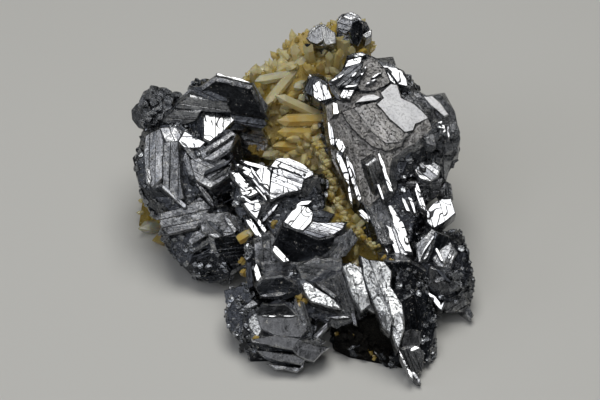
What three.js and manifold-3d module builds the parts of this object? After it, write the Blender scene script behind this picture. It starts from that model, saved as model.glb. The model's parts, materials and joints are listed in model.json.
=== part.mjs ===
// Twinned galena on yellow quartz: flattened spinel-law twins, blades and small cubes of galena
// that grew on a bed of quartz points. Millimetres, +Z up, standing on its lowest crystal tips.
import * as THREE from "three";
import { mergeVertices } from "three/addons/utils/BufferGeometryUtils.js";
import Module from "manifold-3d";

const wasm = await Module();
wasm.setup();

// Driving dimensions.
const PIXEL = 0.2; // size of one picture pixel on the specimen, which sets its real size
const MIDDLE = [300, 200]; // the picture's middle, in pixels
const VIEW_DISTANCE = 600; // from the eye to the middle of the specimen
const VIEW_TILT = THREE.MathUtils.degToRad(40); // how far above the horizon the eye stands
const GAP = 0.32; // between two crystals that touch
const FLOOR_DEPTH = 60; // depth of the block that trims the feet level

const GALENA = { color: 0x5d6068, roughness: 0.22, metalness: 1 };
const GALENA_DULL = { color: 0x8a8c92, roughness: 0.45, metalness: 1 };
const QUARTZ = { color: 0xc9a544, roughness: 0.3, metalness: 0 };

// The display frame: right, up and out towards the eye.
const RIGHT = new THREE.Vector3(1, 0, 0);
const UP = new THREE.Vector3(0, Math.sin(VIEW_TILT), Math.cos(VIEW_TILT));
const OUT = new THREE.Vector3(0, -Math.cos(VIEW_TILT), Math.sin(VIEW_TILT));

// The point seen at picture pixel (u, v) that stands `out` millimetres towards the eye.
function place(u, v, out) {
  const scale = PIXEL * (1 - out / VIEW_DISTANCE);
  return new THREE.Vector3()
    .addScaledVector(RIGHT, (u - MIDDLE[0]) * scale)
    .addScaledVector(UP, (MIDDLE[1] - v) * scale)
    .addScaledVector(OUT, out);
}

// The direction that a face looks in: yaw turns it right and pitch turns it up, in degrees.
function facing(yaw, pitch) {
  const a = THREE.MathUtils.degToRad(yaw);
  const b = THREE.MathUtils.degToRad(pitch);
  return new THREE.Vector3()
    .addScaledVector(RIGHT, Math.sin(a) * Math.cos(b))
    .addScaledVector(UP, Math.sin(b))
    .addScaledVector(OUT, Math.cos(a) * Math.cos(b));
}

// The matrix of a frame at `origin` whose Z axis is `normal`, turned by `spin` degrees about it.
function frameOn(origin, normal, spin = 0) {
  const across = new THREE.Vector3().crossVectors(UP, normal).normalize();
  const along = new THREE.Vector3().crossVectors(normal, across);
  const turn = new THREE.Matrix4().makeRotationZ(THREE.MathUtils.degToRad(spin));
  return new THREE.Matrix4()
    .makeBasis(across, along, normal)
    .setPosition(origin)
    .multiply(turn);
}

function middleOf(outline) {
  const sum = outline.reduce(([a, b], [u, v]) => [a + u, b + v], [0, 0]);
  return sum.map((x) => x / outline.length);
}

// Every crystal below is a function of `grow`: its geometry with each face moved out by that much.

// The outline with every edge moved out by `distance`.
function widened(points, distance) {
  const sign = Math.sign(THREE.ShapeUtils.area(points));
  const edgeNormal = (a, b) => new THREE.Vector2(b.y - a.y, a.x - b.x).normalize().multiplyScalar(sign);
  return points.map((p, i) => {
    const before = edgeNormal(points.at(i - 1), p);
    const after = edgeNormal(p, points[(i + 1) % points.length]);
    const reach = distance / Math.max(0.35, 1 + before.dot(after));
    return p.clone().addScaledVector(before.add(after), reach);
  });
}

// A closed crystal through rings of one outline. Each ring is [how much wider, how far back].
function ringed(points, matrix, rings) {
  return (grow) => {
    const flat = THREE.ShapeUtils.area(points) < 0 ? [...points].reverse() : points;
    const count = flat.length;
    const last = rings.length - 1;
    const corners = rings.flatMap(([wider, back], k) => {
      const depth = k === 0 ? grow : k === last ? -back - grow : -back;
      return widened(flat, wider + grow).flatMap(({ x, y }) => [x, y, depth]);
    });
    const face = THREE.ShapeUtils.triangulateShape(flat, []);
    const index = face.flat();
    for (let k = 0; k < last; k += 1) {
      for (let i = 0; i < count; i += 1) {
        const [a, b] = [k * count + i, k * count + ((i + 1) % count)];
        index.push(a, a + count, b + count, a, b + count, b);
      }
    }
    face.forEach(([a, b, c]) => index.push(last * count + a, last * count + c, last * count + b));
    const geometry = new THREE.BufferGeometry();
    geometry.setAttribute("position", new THREE.Float32BufferAttribute(corners, 3));
    geometry.setIndex(index);
    return geometry.applyMatrix4(matrix);
  };
}

// The face seen as `outline`, in picture pixels, with `out` at its middle: its corners in its own
// plane, and the matrix of that plane.
function seenFace(outline, { out, yaw = 0, pitch = 0 }) {
  const origin = place(...middleOf(outline), out);
  const normal = facing(yaw, pitch);
  const matrix = frameOn(origin, normal);
  const toLocal = matrix.clone().invert();
  const plane = new THREE.Plane().setFromNormalAndCoplanarPoint(normal, origin);
  const points = outline.map(([u, v]) => {
    const near = place(u, v, out);
    const direction = near.clone().sub(place(u, v, out + 1)).normalize();
    const reach = -plane.distanceToPoint(near) / normal.dot(direction);
    const hit = near.addScaledVector(direction, reach).applyMatrix4(toLocal);
    return new THREE.Vector2(hit.x, hit.y);
  });
  return [points, matrix];
}

// A crystal with that front face, whose sides slope out by `flare` over its thickness.
function plate(outline, { thick = 3, flare = 0.8, ...look }) {
  return ringed(...seenFace(outline, look), [[0, 0], [flare, thick]]);
}

// A long narrow plate between two picture points, `width` pixels across, with pointed ends.
function lath([u0, v0], [u1, v1], width, look) {
  const length = Math.hypot(u1 - u0, v1 - v0);
  const [a, b] = [(u1 - u0) / length, (v1 - v0) / length];
  const side = width / 2;
  const corner = Math.min(side, length / 4);
  const at = (along, across) => [u0 + a * along - b * across, v0 + b * along + a * across];
  const outline = [
    at(0, -side * 0.3),
    at(corner, -side),
    at(length - corner * 0.4, -side),
    at(length, side * 0.2),
    at(length - corner, side),
    at(corner * 0.4, side),
  ];
  return plate(outline, { thick: 1.4, flare: 0.3, ...look });
}

// A block of crystal whose corners are cut by an octahedron: `cut` is 0.5 for none of the cube's edges
// left and 1 for a plain block. `size` is across, along and in the direction that it faces.
function block([u, v, out], { size, cut = 0.74, yaw = 0, pitch = 0, spin = 0 }) {
  const matrix = frameOn(place(u, v, out), facing(yaw, pitch), spin);
  return (grow) => {
    const box = new THREE.BoxGeometry(...size.map((side) => side + 2 * grow));
    if (cut === 1) return box.applyMatrix4(matrix);
    const caps = new THREE.OctahedronGeometry(1.5 * cut);
    caps.scale(...size.map((side) => side + (2 * grow) / Math.sqrt(3) / cut));
    return geometryOf(solidOf(box).intersect(solidOf(caps))).applyMatrix4(matrix);
  };
}

// A six-sided quartz prism with a pointed end, from `root` to `tip`.
function point(root, tip, radius, cap = 1.5) {
  const [from, to] = [place(...root), place(...tip)];
  const height = from.distanceTo(to);
  const turn = new THREE.Quaternion().setFromUnitVectors(
    new THREE.Vector3(0, 1, 0),
    to.clone().sub(from).normalize(),
  );
  const matrix = new THREE.Matrix4().compose(from, turn, new THREE.Vector3(1, 1, 1));
  return (grow) => {
    const r = radius + grow;
    const profile = [
      [0, -grow],
      [r, -grow],
      [r, height - radius * cap],
      [0, height + grow],
    ];
    const lathe = new THREE.LatheGeometry(profile.map(([x, y]) => new THREE.Vector2(x, y)), 6);
    return lathe.applyMatrix4(matrix);
  };
}

// A closed geometry as a solid, and back.
function solidOf(geometry) {
  const bare = geometry.index ? geometry.toNonIndexed() : geometry.clone();
  const shape = new THREE.BufferGeometry().setAttribute("position", bare.getAttribute("position"));
  const merged = mergeVertices(shape, 1e-4);
  const corners = merged.index.array;
  const whole = [];
  for (let i = 0; i < corners.length; i += 3) {
    const [a, b, c] = corners.slice(i, i + 3);
    if (a !== b && b !== c && c !== a) whole.push(a, b, c);
  }
  return new wasm.Manifold(
    new wasm.Mesh({
      numProp: 3,
      vertProperties: merged.attributes.position.array,
      triVerts: new Uint32Array(whole),
    }),
  );
}

function geometryOf(solid) {
  const mesh = solid.getMesh();
  const geometry = new THREE.BufferGeometry();
  geometry.setAttribute("position", new THREE.BufferAttribute(new Float32Array(mesh.vertProperties), 3));
  geometry.setIndex([...mesh.triVerts]);
  return geometry;
}

const joined = (crystals, grow = 0) =>
  crystals.map((make) => solidOf(make(grow))).reduce((all, next) => all.add(next));

// A repeatable random number from 0 to 1.
function randomFrom(seed) {
  let state = seed >>> 0;
  return () => {
    state = (state * 1664525 + 1013904223) >>> 0;
    return state / 2 ** 32;
  };
}

// Blocks grown round a core, on the sides that turn away from the eye.
function backGrowth([u, v, out], radius, count, seed, side) {
  const random = randomFrom(seed);
  return Array.from({ length: count }, (_, k) => {
    const turn = ((k + random() * 0.7) / count) * Math.PI * 2;
    const depth = 0.25 + random() * 0.75;
    const ring = Math.sqrt(1 - depth * depth * 0.8);
    const du = (Math.cos(turn) * ring * radius) / PIXEL;
    const dv = (Math.sin(turn) * ring * radius) / PIXEL;
    const big = side * (0.7 + random() * 0.6);
    const yaw = THREE.MathUtils.radToDeg(Math.atan2(Math.cos(turn) * ring, -depth));
    const pitch = THREE.MathUtils.radToDeg(Math.asin(-Math.sin(turn) * ring));
    const look = { size: [big, big * 0.9, big * 0.6], cut: 1, yaw, pitch, spin: random() * 60 };
    return block([u + du, v + dv, out - depth * radius], look);
  });
}

// The look that turns a face so that it mirrors the light overhead.
const BRIGHT = { yaw: 3, pitch: 22 };

const rightTwins = [
  block([382, 140, 20.5], { size: [19, 19, 17], yaw: -14, pitch: 2, spin: 22 }),
  block([370, 84, 20], { size: [13, 8, 13], yaw: -5, pitch: 8, spin: 18 }),
  block([392, 208, 21.5], { size: [10, 15, 14], yaw: -6, spin: 24 }),
  block([428, 130, 18.5], { size: [8, 13, 14], yaw: 14, spin: 12 }),
  // The broad brushed face, the growth ledge on it and the pale patch that tops it.
  plate(
    [
      [326, 106], [344, 97], [380, 92], [426, 114], [432, 128], [414, 144], [392, 158],
      [386, 192], [368, 206], [352, 198], [332, 160],
    ],
    { out: 30.4, yaw: -14, pitch: 1 },
  ),
  plate(
    [
      [348, 108], [376, 102], [394, 114], [405, 136], [398, 148], [372, 146],
      [352, 128],
    ],
    { out: 31.4, yaw: -12, pitch: 2, thick: 2 },
  ),
  plate(
    [
      [377, 104], [391, 84], [401, 98], [414, 104], [428, 118], [413, 130], [405, 132],
      [390, 119],
    ],
    { out: 32.4, yaw: -2, pitch: 11, thick: 2.4 },
  ),
  // The steep side that stands along the quartz seam.
  plate(
    [
      [323, 116], [332, 108], [346, 158], [362, 202], [382, 244], [374, 248],
      [354, 226], [337, 190], [325, 150],
    ],
    { out: 27.5, yaw: -48, pitch: -4, thick: 4 },
  ),
  // Bright striations.
  lath([337, 140], [361, 203], 8, { out: 31.6, ...BRIGHT }),
  lath([378, 149], [392, 192], 5, { out: 32.2, ...BRIGHT }),
  // The crest.
  plate([[328, 82], [345, 68], [362, 62], [359, 84], [340, 88]], { out: 28, yaw: -24, pitch: 4 }),
  plate(
    [
      [361, 62], [372, 57], [384, 68], [390, 82], [374, 91], [357, 86],
    ],
    { out: 29, yaw: -8, pitch: 6 },
  ),
  plate(
    [
      [350, 54], [362, 51], [382, 60], [404, 70], [414, 86], [380, 70],
    ],
    { out: 24.5, yaw: 18, pitch: 40, thick: 4 },
  ),
  lath([339, 95], [380, 97], 9, { out: 30.6, yaw: 0, pitch: 18, thick: 3 }),
  // The right shoulder.
  plate([[402, 97], [420, 92], [446, 115], [431, 121], [412, 104]], { out: 29.6, yaw: 12, pitch: 2 }),
  plate(
    [
      [432, 123], [449, 118], [451, 130], [449, 158], [434, 136],
    ],
    { out: 25.6, yaw: 42, pitch: -14, thick: 4 },
  ),
  plate(
    [
      [390, 153], [412, 143], [432, 150], [436, 160], [402, 180], [393, 184],
    ],
    { out: 29.4, yaw: 10, pitch: -22 },
  ),
  plate(
    [
      [440, 150], [451, 136], [452, 162], [446, 181], [440, 172],
    ],
    { out: 25, yaw: 48, pitch: -8, thick: 4 },
  ),
  // The steps and blades below the shoulder.
  plate(
    [
      [396, 184], [415, 170], [442, 178], [438, 196], [424, 208], [402, 202],
    ],
    { out: 27.2, yaw: 6, pitch: -20 },
  ),
  plate(
    [
      [427, 211], [444, 198], [451, 199], [455, 213], [433, 228],
    ],
    { out: 27.6, ...BRIGHT, thick: 4 },
  ),
  plate(
    [
      [440, 190], [446, 181], [451, 184], [453, 198], [444, 197],
    ],
    { out: 26.8, yaw: 12, pitch: 12, thick: 4 },
  ),
  plate(
    [
      [381, 208], [391, 205], [404, 224], [412, 252], [405, 251], [393, 224],
    ],
    { out: 30.8, ...BRIGHT, flare: 0.4 },
  ),
  plate(
    [
      [385, 223], [396, 219], [408, 254], [398, 259], [391, 242],
    ],
    { out: 31.2, ...BRIGHT, flare: 0.4 },
  ),
  plate(
    [
      [356, 204], [380, 198], [394, 224], [398, 262], [382, 260], [368, 234],
    ],
    { out: 29.6, yaw: -18, pitch: -8 },
  ),
  ...backGrowth([384, 138, 19], 9.5, 5, 11, 10),
];

const leftTwins = [
  block([186, 170, 18], { size: [15, 17, 16], yaw: -14, pitch: 3, spin: 8 }),
  block([206, 236, 18], { size: [13, 12, 14], yaw: -6, spin: 38 }),
  block([222, 108, 18.5], { size: [13, 8, 12], yaw: -6, pitch: -12, spin: -14 }),
  // The black six-sided plate, its bright upper edge, its right edge and the plates behind it.
  plate(
    [
      [200, 92], [216, 81], [250, 89], [263, 117], [240, 114], [224, 108],
    ],
    { out: 27.6, yaw: -6, pitch: -22, flare: 1.4 },
  ),
  plate([[214, 82], [217, 73], [234, 75], [253, 83], [251, 89]], { out: 26.6, ...BRIGHT, flare: 0.4 }),
  plate(
    [
      [249, 83], [254, 83], [268, 106], [265, 116], [260, 112],
    ],
    { out: 26, yaw: 38, pitch: 8, flare: 0.4 },
  ),
  plate(
    [
      [191, 87], [202, 87], [228, 101], [214, 101], [199, 95],
    ],
    { out: 28, yaw: -10, pitch: 9, flare: 0.4 },
  ),
  plate(
    [
      [178, 105], [190, 97], [226, 102], [231, 112], [202, 111],
    ],
    { out: 27.2, yaw: -6, pitch: -26 },
  ),
  plate(
    [
      [231, 114], [264, 119], [267, 124], [262, 129], [240, 124],
    ],
    { out: 25.8, yaw: 4, pitch: 4, flare: 0.4 },
  ),
  plate(
    [
      [236, 124], [262, 129], [269, 144], [263, 152], [250, 149], [239, 134],
    ],
    { out: 21, yaw: 18, pitch: 2, thick: 4 },
  ),
  // Bright facets in the middle of the upper half.
  plate(
    [
      [204, 113], [214, 113], [236, 118], [222, 132], [210, 141], [204, 138],
    ],
    { out: 26.8, ...BRIGHT, flare: 0.4 },
  ),
  plate(
    [
      [178, 129], [196, 138], [205, 142], [200, 147], [184, 147],
    ],
    { out: 27, ...BRIGHT, flare: 0.4 },
  ),
  // The lumpy crystal at the upper left.
  block([161, 106, 18], { size: [6.6, 6.6, 9], yaw: -20, pitch: 10, spin: 20 }),
  block([152, 115, 17], { size: [5, 6, 8], yaw: -35, pitch: -10, spin: 40 }),
  // The tall plates on the left.
  plate(
    [
      [146, 136], [160, 129], [163, 141], [162, 178], [152, 187], [146, 182],
    ],
    { out: 26.6, yaw: -16, pitch: 5 },
  ),
  plate(
    [
      [164, 143], [178, 140], [180, 176], [184, 198], [178, 201], [163, 184],
    ],
    { out: 27.6, yaw: -12, pitch: 3 },
  ),
  plate(
    [
      [160, 128], [174, 127], [183, 131], [178, 141], [166, 142],
    ],
    { out: 27.2, yaw: -6, pitch: 12 },
  ),
  plate(
    [
      [148, 189], [161, 187], [182, 207], [170, 212], [155, 206],
    ],
    { out: 25.4, yaw: -12, pitch: -38 },
  ),
  plate(
    [
      [132, 158], [145, 142], [148, 186], [161, 212], [152, 208], [139, 186],
    ],
    { out: 20.5, yaw: -44, pitch: -4, thick: 4 },
  ),
  // The folded crystals in the middle.
  plate(
    [
      [200, 151], [231, 131], [236, 134], [230, 150], [212, 160],
    ],
    { out: 29.4, yaw: -12, pitch: 8 },
  ),
  plate([[232, 131], [245, 152], [240, 166], [231, 150]], { out: 27.5, yaw: 44, pitch: 0 }),
  plate(
    [
      [190, 160], [212, 154], [232, 164], [228, 176], [210, 188], [196, 180],
    ],
    { out: 28.8, yaw: -8, pitch: 4 },
  ),
  plate([[208, 192], [236, 178], [241, 205], [224, 214]], { out: 24.2, yaw: 10, pitch: -28 }),
  // The lower half.
  plate(
    [
      [161, 213], [184, 207], [200, 197], [211, 207], [196, 228], [168, 234],
    ],
    { out: 27, yaw: -10, pitch: 7 },
  ),
  plate([[200, 214], [228, 212], [241, 219], [240, 232], [215, 238]], { out: 27.6, yaw: 4, pitch: 2 }),
  plate(
    [
      [162, 234], [190, 233], [194, 255], [175, 248],
    ],
    { out: 23.4, yaw: -14, pitch: -34, thick: 4 },
  ),
  lath([188, 241], [211, 227], 10, { out: 26.6, yaw: -14, pitch: 3, thick: 2 }),
  plate(
    [
      [214, 239], [240, 236], [246, 250], [243, 264], [232, 271], [218, 262],
    ],
    { out: 26.4, yaw: 8, pitch: -14, flare: 1.2 },
  ),
  block([214, 262, 22], { size: [8, 6, 7], yaw: -10, pitch: -15, spin: -20 }),
  ...backGrowth([190, 168, 17], 8.5, 4, 21, 9),
];

const centreTwins = [
  block([288, 208, 28], { size: [13, 14, 12], yaw: 3, pitch: 8, spin: -10 }),
  block([256, 202, 29], { size: [7, 13, 9], yaw: -6, spin: 12 }),
  block([286, 254, 31], { size: [15, 9, 10], pitch: -12, spin: -6 }),
  // The broad white face with its arched rim.
  plate(
    [
      [262, 167], [280, 169], [304, 178], [301, 190], [284, 194], [271, 200],
      [264, 186],
    ],
    { out: 35.4, ...BRIGHT, flare: 0.4 },
  ),
  plate(
    [
      [271, 166], [277, 158], [290, 158], [311, 171], [305, 177], [288, 170],
    ],
    { out: 34, yaw: 10, pitch: 30, flare: 0.5 },
  ),
  plate(
    [
      [304, 178], [318, 177], [323, 194], [311, 201], [299, 197],
    ],
    { out: 33.6, yaw: 24, pitch: -10 },
  ),
  // Bright blades to its left.
  lath([233, 171], [248, 187], 6, { out: 34.6, ...BRIGHT, thick: 2 }),
  lath([243, 171], [268, 194], 6, { out: 35.2, ...BRIGHT, thick: 2 }),
  plate([[244, 203], [258, 199], [261, 206], [257, 219]], { out: 35.6, ...BRIGHT, flare: 0.4 }),
  plate(
    [
      [260, 204], [278, 200], [280, 214], [266, 232], [258, 222],
    ],
    { out: 34.8, yaw: 8, pitch: -14 },
  ),
  // The rounded white facets on the right and the large dark face below them.
  plate(
    [
      [284, 222], [297, 205], [308, 207], [313, 213], [303, 230], [294, 228],
    ],
    { out: 37.2, ...BRIGHT, flare: 0.4 },
  ),
  plate(
    [
      [299, 232], [311, 221], [328, 220], [346, 222], [332, 235], [318, 238],
    ],
    { out: 37, yaw: 5, pitch: 20, flare: 0.4 },
  ),
  plate(
    [
      [283, 226], [318, 240], [334, 237], [330, 250], [311, 262], [290, 262],
      [272, 246],
    ],
    { out: 37.6, yaw: -2, pitch: -20 },
  ),
  plate(
    [
      [334, 238], [352, 230], [358, 240], [346, 256], [326, 262],
    ],
    { out: 35.6, yaw: 16, pitch: -6 },
  ),
  plate(
    [
      [254, 240], [268, 233], [280, 246], [284, 262], [270, 276], [255, 262],
    ],
    { out: 36.8, yaw: -8, pitch: -8 },
  ),
  plate(
    [
      [246, 252], [256, 238], [260, 242], [252, 258], [253, 286], [247, 290],
    ],
    { out: 35.8, yaw: -10, pitch: 7, thick: 4, flare: 0.4 },
  ),
];

const lowerTwins = [
  block([324, 290, 33.4], { size: [13, 11, 10], spin: -12 }),
  block([406, 316, 33.4], { size: [8, 18, 12], yaw: 12, spin: 12 }),
  block([374, 342, 31.5], { size: [14, 10, 9], yaw: -14, pitch: -24, spin: 12 }),
  // Dark plates round the middle.
  plate(
    [
      [256, 288], [265, 279], [282, 277], [300, 290], [286, 300], [262, 298],
    ],
    { out: 40, yaw: 0, pitch: -16 },
  ),
  plate(
    [
      [298, 268], [318, 258], [342, 262], [342, 280], [302, 280],
    ],
    { out: 38.9, yaw: 6, pitch: -10 },
  ),
  plate(
    [
      [302, 284], [307, 282], [334, 300], [340, 308], [311, 301],
    ],
    { out: 41.4, yaw: 3, pitch: 18, flare: 0.4 },
  ),
  plate([[318, 284], [342, 274], [356, 314], [340, 312]], { out: 39.8, yaw: -12, pitch: -14 }),
  plate([[316, 306], [366, 314], [360, 330], [330, 328]], { out: 38.4, yaw: -4, pitch: -22 }),
  // The dark slope and foot under the blades.
  plate(
    [
      [330, 330], [362, 324], [374, 352], [350, 356],
    ],
    { out: 36.4, yaw: -16, pitch: -34, thick: 4 },
  ),
  plate(
    [
      [364, 330], [384, 330], [402, 366], [398, 381], [376, 364],
    ],
    { out: 38.2, yaw: -24, pitch: -16, thick: 5 },
  ),
  plate([[400, 302], [414, 294], [420, 310], [420, 345], [402, 348]], { out: 40.6, yaw: 12, pitch: 2 }),
  plate(
    [
      [400, 350], [418, 347], [424, 356], [416, 380], [408, 374],
    ],
    { out: 41.4, yaw: 10, pitch: -16, thick: 6 },
  ),
  plate(
    [
      [420, 300], [427, 316], [431, 350], [430, 358], [420, 340],
    ],
    { out: 36.5, yaw: 48, pitch: -6, thick: 4 },
  ),
  lath([408, 368], [421, 383], 6, { out: 42.6, yaw: 6, pitch: 20, thick: 4 }),
  plate(
    [
      [386, 262], [410, 262], [426, 272], [420, 298], [406, 304], [393, 292],
    ],
    { out: 37, yaw: 12, pitch: -14 },
  ),
  block([402, 356, 33], { size: [8, 8, 8], cut: 1, yaw: 10, pitch: 50, spin: 10 }),
  block([374, 342, 28], { size: [12, 10, 8], cut: 1, yaw: -20, pitch: 50, spin: 25 }),
];

const bladePair = [
  plate(
    [
      [343, 267], [350, 263], [361, 268], [370, 304], [362, 311], [354, 298],
    ],
    { out: 42.6, yaw: 4, pitch: 17, thick: 2 },
  ),
  plate(
    [
      [361, 256], [368, 260], [392, 318], [390, 332], [383, 326], [373, 302],
      [364, 276],
    ],
    { out: 43.6, yaw: 4, pitch: 17, flare: 0.4 },
  ),
  plate(
    [
      [370, 260], [384, 262], [391, 271], [402, 305], [404, 328], [398, 350],
      [393, 334], [392, 318], [380, 288],
    ],
    { out: 43, yaw: 5, pitch: 16, flare: 0.4 },
  ),
];

const lowerLeftCrystal = [
  block([278, 330, 34], { size: [13, 10, 12], yaw: 2, pitch: 8, spin: -10 }),
  plate(
    [
      [257, 313], [263, 305], [285, 305], [298, 317], [307, 330], [301, 337],
      [275, 335],
    ],
    { out: 41.2, yaw: 3, pitch: 9 },
  ),
  plate(
    [
      [248, 311], [256, 311], [263, 328], [257, 337], [249, 326],
    ],
    { out: 40.4, yaw: -16, pitch: 20 },
  ),
  // Ledges that step down to the front.
  plate(
    [
      [254, 339], [276, 336], [299, 339], [293, 349], [260, 343],
    ],
    { out: 42.2, yaw: 2, pitch: 8, flare: 0.4 },
  ),
  plate(
    [
      [298, 339], [328, 348], [314, 361], [300, 357],
    ],
    { out: 42, yaw: 4, pitch: 9, thick: 5, flare: 0.5 },
  ),
  plate(
    [
      [258, 351], [296, 356], [304, 360], [301, 364], [266, 357],
    ],
    { out: 41.6, yaw: 2, pitch: 6, flare: 0.4 },
  ),
  plate([[268, 362], [302, 364], [297, 372], [276, 369]], { out: 40.8, yaw: 2, pitch: 5, flare: 0.3 }),
  // Rough growth on the left side and pointed blades on the right.
  block([245, 320, 35], { size: [5.4, 7, 6], yaw: -20, pitch: 5, spin: 30 }),
  block([243, 302, 33.5], { size: [5, 5, 6], cut: 1, yaw: -15, pitch: 10, spin: 15 }),
  lath([293, 300], [308, 332], 7, { out: 40.4, yaw: -22, pitch: -6, thick: 3 }),
  lath([302, 302], [312, 336], 5, { out: 40.6, yaw: 14, pitch: -8, thick: 3 }),
  block([281, 342, 33], { size: [12, 9, 9], cut: 1, yaw: -10, pitch: 50, spin: 10 }),
];

const rightFoot = [
  block([440, 268, 26], { size: [10, 13, 12], yaw: 6, spin: 10 }),
  plate([[416, 244], [432, 229], [438, 233], [427, 258], [419, 262]], { out: 33, yaw: -18, pitch: 6 }),
  plate([[438, 233], [449, 237], [440, 262], [428, 262]], { out: 33.6, yaw: 14, pitch: -6 }),
  plate([[440, 250], [450, 242], [457, 252], [450, 268], [433, 260]], { out: 33.9, yaw: 4, pitch: 10 }),
  plate(
    [
      [448, 237], [460, 250], [467, 278], [469, 298], [456, 292],
    ],
    { out: 29.6, yaw: 42, pitch: -4, thick: 5 },
  ),
  plate(
    [
      [430, 268], [450, 270], [456, 290], [448, 304], [427, 284],
    ],
    { out: 32.8, yaw: -6, pitch: -18 },
  ),
  lath([427, 291], [443, 309], 6, { out: 34.2, ...BRIGHT, thick: 4 }),
  plate(
    [
      [443, 302], [462, 290], [470, 304], [464, 312], [446, 313],
    ],
    { out: 30.8, yaw: 10, pitch: -16, thick: 5 },
  ),
  lath([461, 294], [472, 320], 8, { out: 29.8, yaw: 14, pitch: 4, thick: 8 }),
  block([442, 286, 24], { size: [9, 9, 9], cut: 1, yaw: 10, pitch: 50, spin: 12 }),
];

const valleyCrystal = [
  block([317, 91, 21.4], { size: [4.4, 4.6, 5], yaw: -5, pitch: 15, spin: 20 }),
  plate(
    [
      [313, 85], [320, 80], [327, 84], [332, 98], [320, 101],
    ],
    { out: 24.8, ...BRIGHT, flare: 0.4, thick: 2 },
  ),
];

const topLeftCrystal = [
  block([321, 37, 15], { size: [4.6, 4.4, 4.6], yaw: -18, pitch: 30, spin: 40 }),
];

const topRightCrystal = [
  block([350, 28, 14], { size: [4.6, 5.6, 5], yaw: -20, pitch: 15, spin: 6 }),
  block([347, 20, 12.6], { size: [3.8, 3.6, 4], yaw: 10, pitch: 30, spin: 30 }),
  block([361, 26, 12.6], { size: [3.4, 4, 4], yaw: 40, pitch: 5, spin: 15 }),
];

// The quartz bed: blocky lumps under everything, then the points that grew on it.
const quartzLumps = [
  block([298, 118, 10], { size: [17, 20, 15], yaw: 6, spin: 10 }),
  block([318, 68, 8], { size: [13, 12, 11], yaw: -10, pitch: 12, spin: 30 }),
  block([343, 46, 8], { size: [9, 8, 8], yaw: 15, pitch: 10, spin: 15 }),
  block([322, 184, 16], { size: [12, 22, 15], yaw: -8, spin: 25 }),
  block([336, 250, 22], { size: [16, 16, 14], yaw: 4, pitch: -10, spin: 20 }),
];

// The lumps that it stands on at the back, with upright sides.
const quartzBase = [
  block([322, 140, 1], { size: [22, 16, 19], yaw: 10, pitch: 50, spin: 10 }),
  block([262, 172, 2], { size: [24, 15, 15], yaw: -10, pitch: 50, spin: -6 }),
  block([202, 218, 5], { size: [24, 13, 10], yaw: -14, pitch: 50, spin: -8 }),
];

const largePoints = [
  point([304, 84, 14], [255, 80, 18.4], 1.15),
  point([306, 60, 12], [266, 105, 20.5], 1.1),
  point([326, 114, 18], [275, 92, 22], 1.15),
  point([330, 122, 18], [277, 119, 23], 1.35),
  point([326, 134, 18], [278, 132, 22.6], 0.95),
  point([324, 144, 18], [273, 146, 22.6], 1.05),
  point([316, 62, 10], [305, 42, 17.5], 1.3),
  point([336, 58, 10], [350, 42, 15], 1.2),
];

// The seam beside the right twins, and the points at the lower left.
const seam = plate(
  [
    [318, 146], [326, 150], [344, 200], [368, 236], [376, 250], [360, 248], [340, 214],
  ],
  { out: 27.2, yaw: -20, pitch: -4, thick: 6, flare: 1.2 },
);

const leftPoints = [
  point([176, 212, 6], [143, 200, 12.5], 1.4),
  point([174, 224, 6], [138, 229, 10], 1.5),
  point([186, 238, 8], [152, 240, 12], 1.4),
];

const quartzBed = [...quartzLumps, ...quartzBase, ...largePoints, seam, ...leftPoints];

// Each node with its finish, the ones that keep their whole form first. A later one is cut by those
// before it.
const pieces = [
  ["galena_right_twins", [...rightTwins, ...rightFoot], GALENA],
  ["galena_left_twins", leftTwins, GALENA],
  ["galena_front_twins", [...centreTwins, ...lowerTwins, ...bladePair, ...lowerLeftCrystal], GALENA],
  ["galena_valley_crystal", valleyCrystal, GALENA],
  ["galena_top_left_crystal", topLeftCrystal, GALENA_DULL],
  ["galena_top_right_crystal", topRightCrystal, GALENA_DULL],
  ["quartz_bed", quartzBed, QUARTZ],
];

// The block of space below the surface that the specimen stands on.
const underFloor = solidOf(new THREE.BoxGeometry(400, 400, FLOOR_DEPTH).translate(0, 0, -FLOOR_DEPTH / 2));

const solids = new Map();
let taken = null;
for (const [name, crystals] of pieces) {
  const whole = joined(crystals).subtract(underFloor);
  const cut = taken ? whole.subtract(taken) : whole;
  const parts = cut.decompose().sort((a, b) => b.volume() - a.volume());
  solids.set(name, parts[0]);
  const room = joined(crystals, GAP);
  taken = taken ? taken.add(room) : room;
}

// The origin is the middle of the footprint, on the surface.
const reach = new THREE.Box3();
for (const solid of solids.values()) {
  const { min, max } = solid.boundingBox();
  reach.union(new THREE.Box3(new THREE.Vector3(...min), new THREE.Vector3(...max)));
}
const middle = reach.getCenter(new THREE.Vector3());

const specimen = new THREE.Group();
specimen.position.set(-middle.x, -middle.y, 0);
for (const [name, , finish] of pieces) {
  const geometry = geometryOf(solids.get(name));
  geometry.computeVertexNormals();
  const mesh = new THREE.Mesh(geometry, new THREE.MeshStandardMaterial(finish));
  mesh.name = name;
  specimen.add(mesh);
}

export default specimen;
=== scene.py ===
"""Twinned galena on yellow quartz: the looks of a mineral specimen.

The galena crystals are set out by where the photograph shows them. Each front face is parted into
the narrow growth strips of a twinned crystal, and the crystals of a mass are grown into one solid
by a Geometry Nodes tree. A second tree spreads the small crystals that crust the rough ground: the
druse of quartz points and the galena grains between the large twins.
"""
from __future__ import annotations

import json
import logging
import math
import random
from dataclasses import dataclass, replace
from enum import Enum
from typing import Iterable, Iterator, Sequence

import bmesh
import bpy
from mathutils import Matrix, Vector

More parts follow.
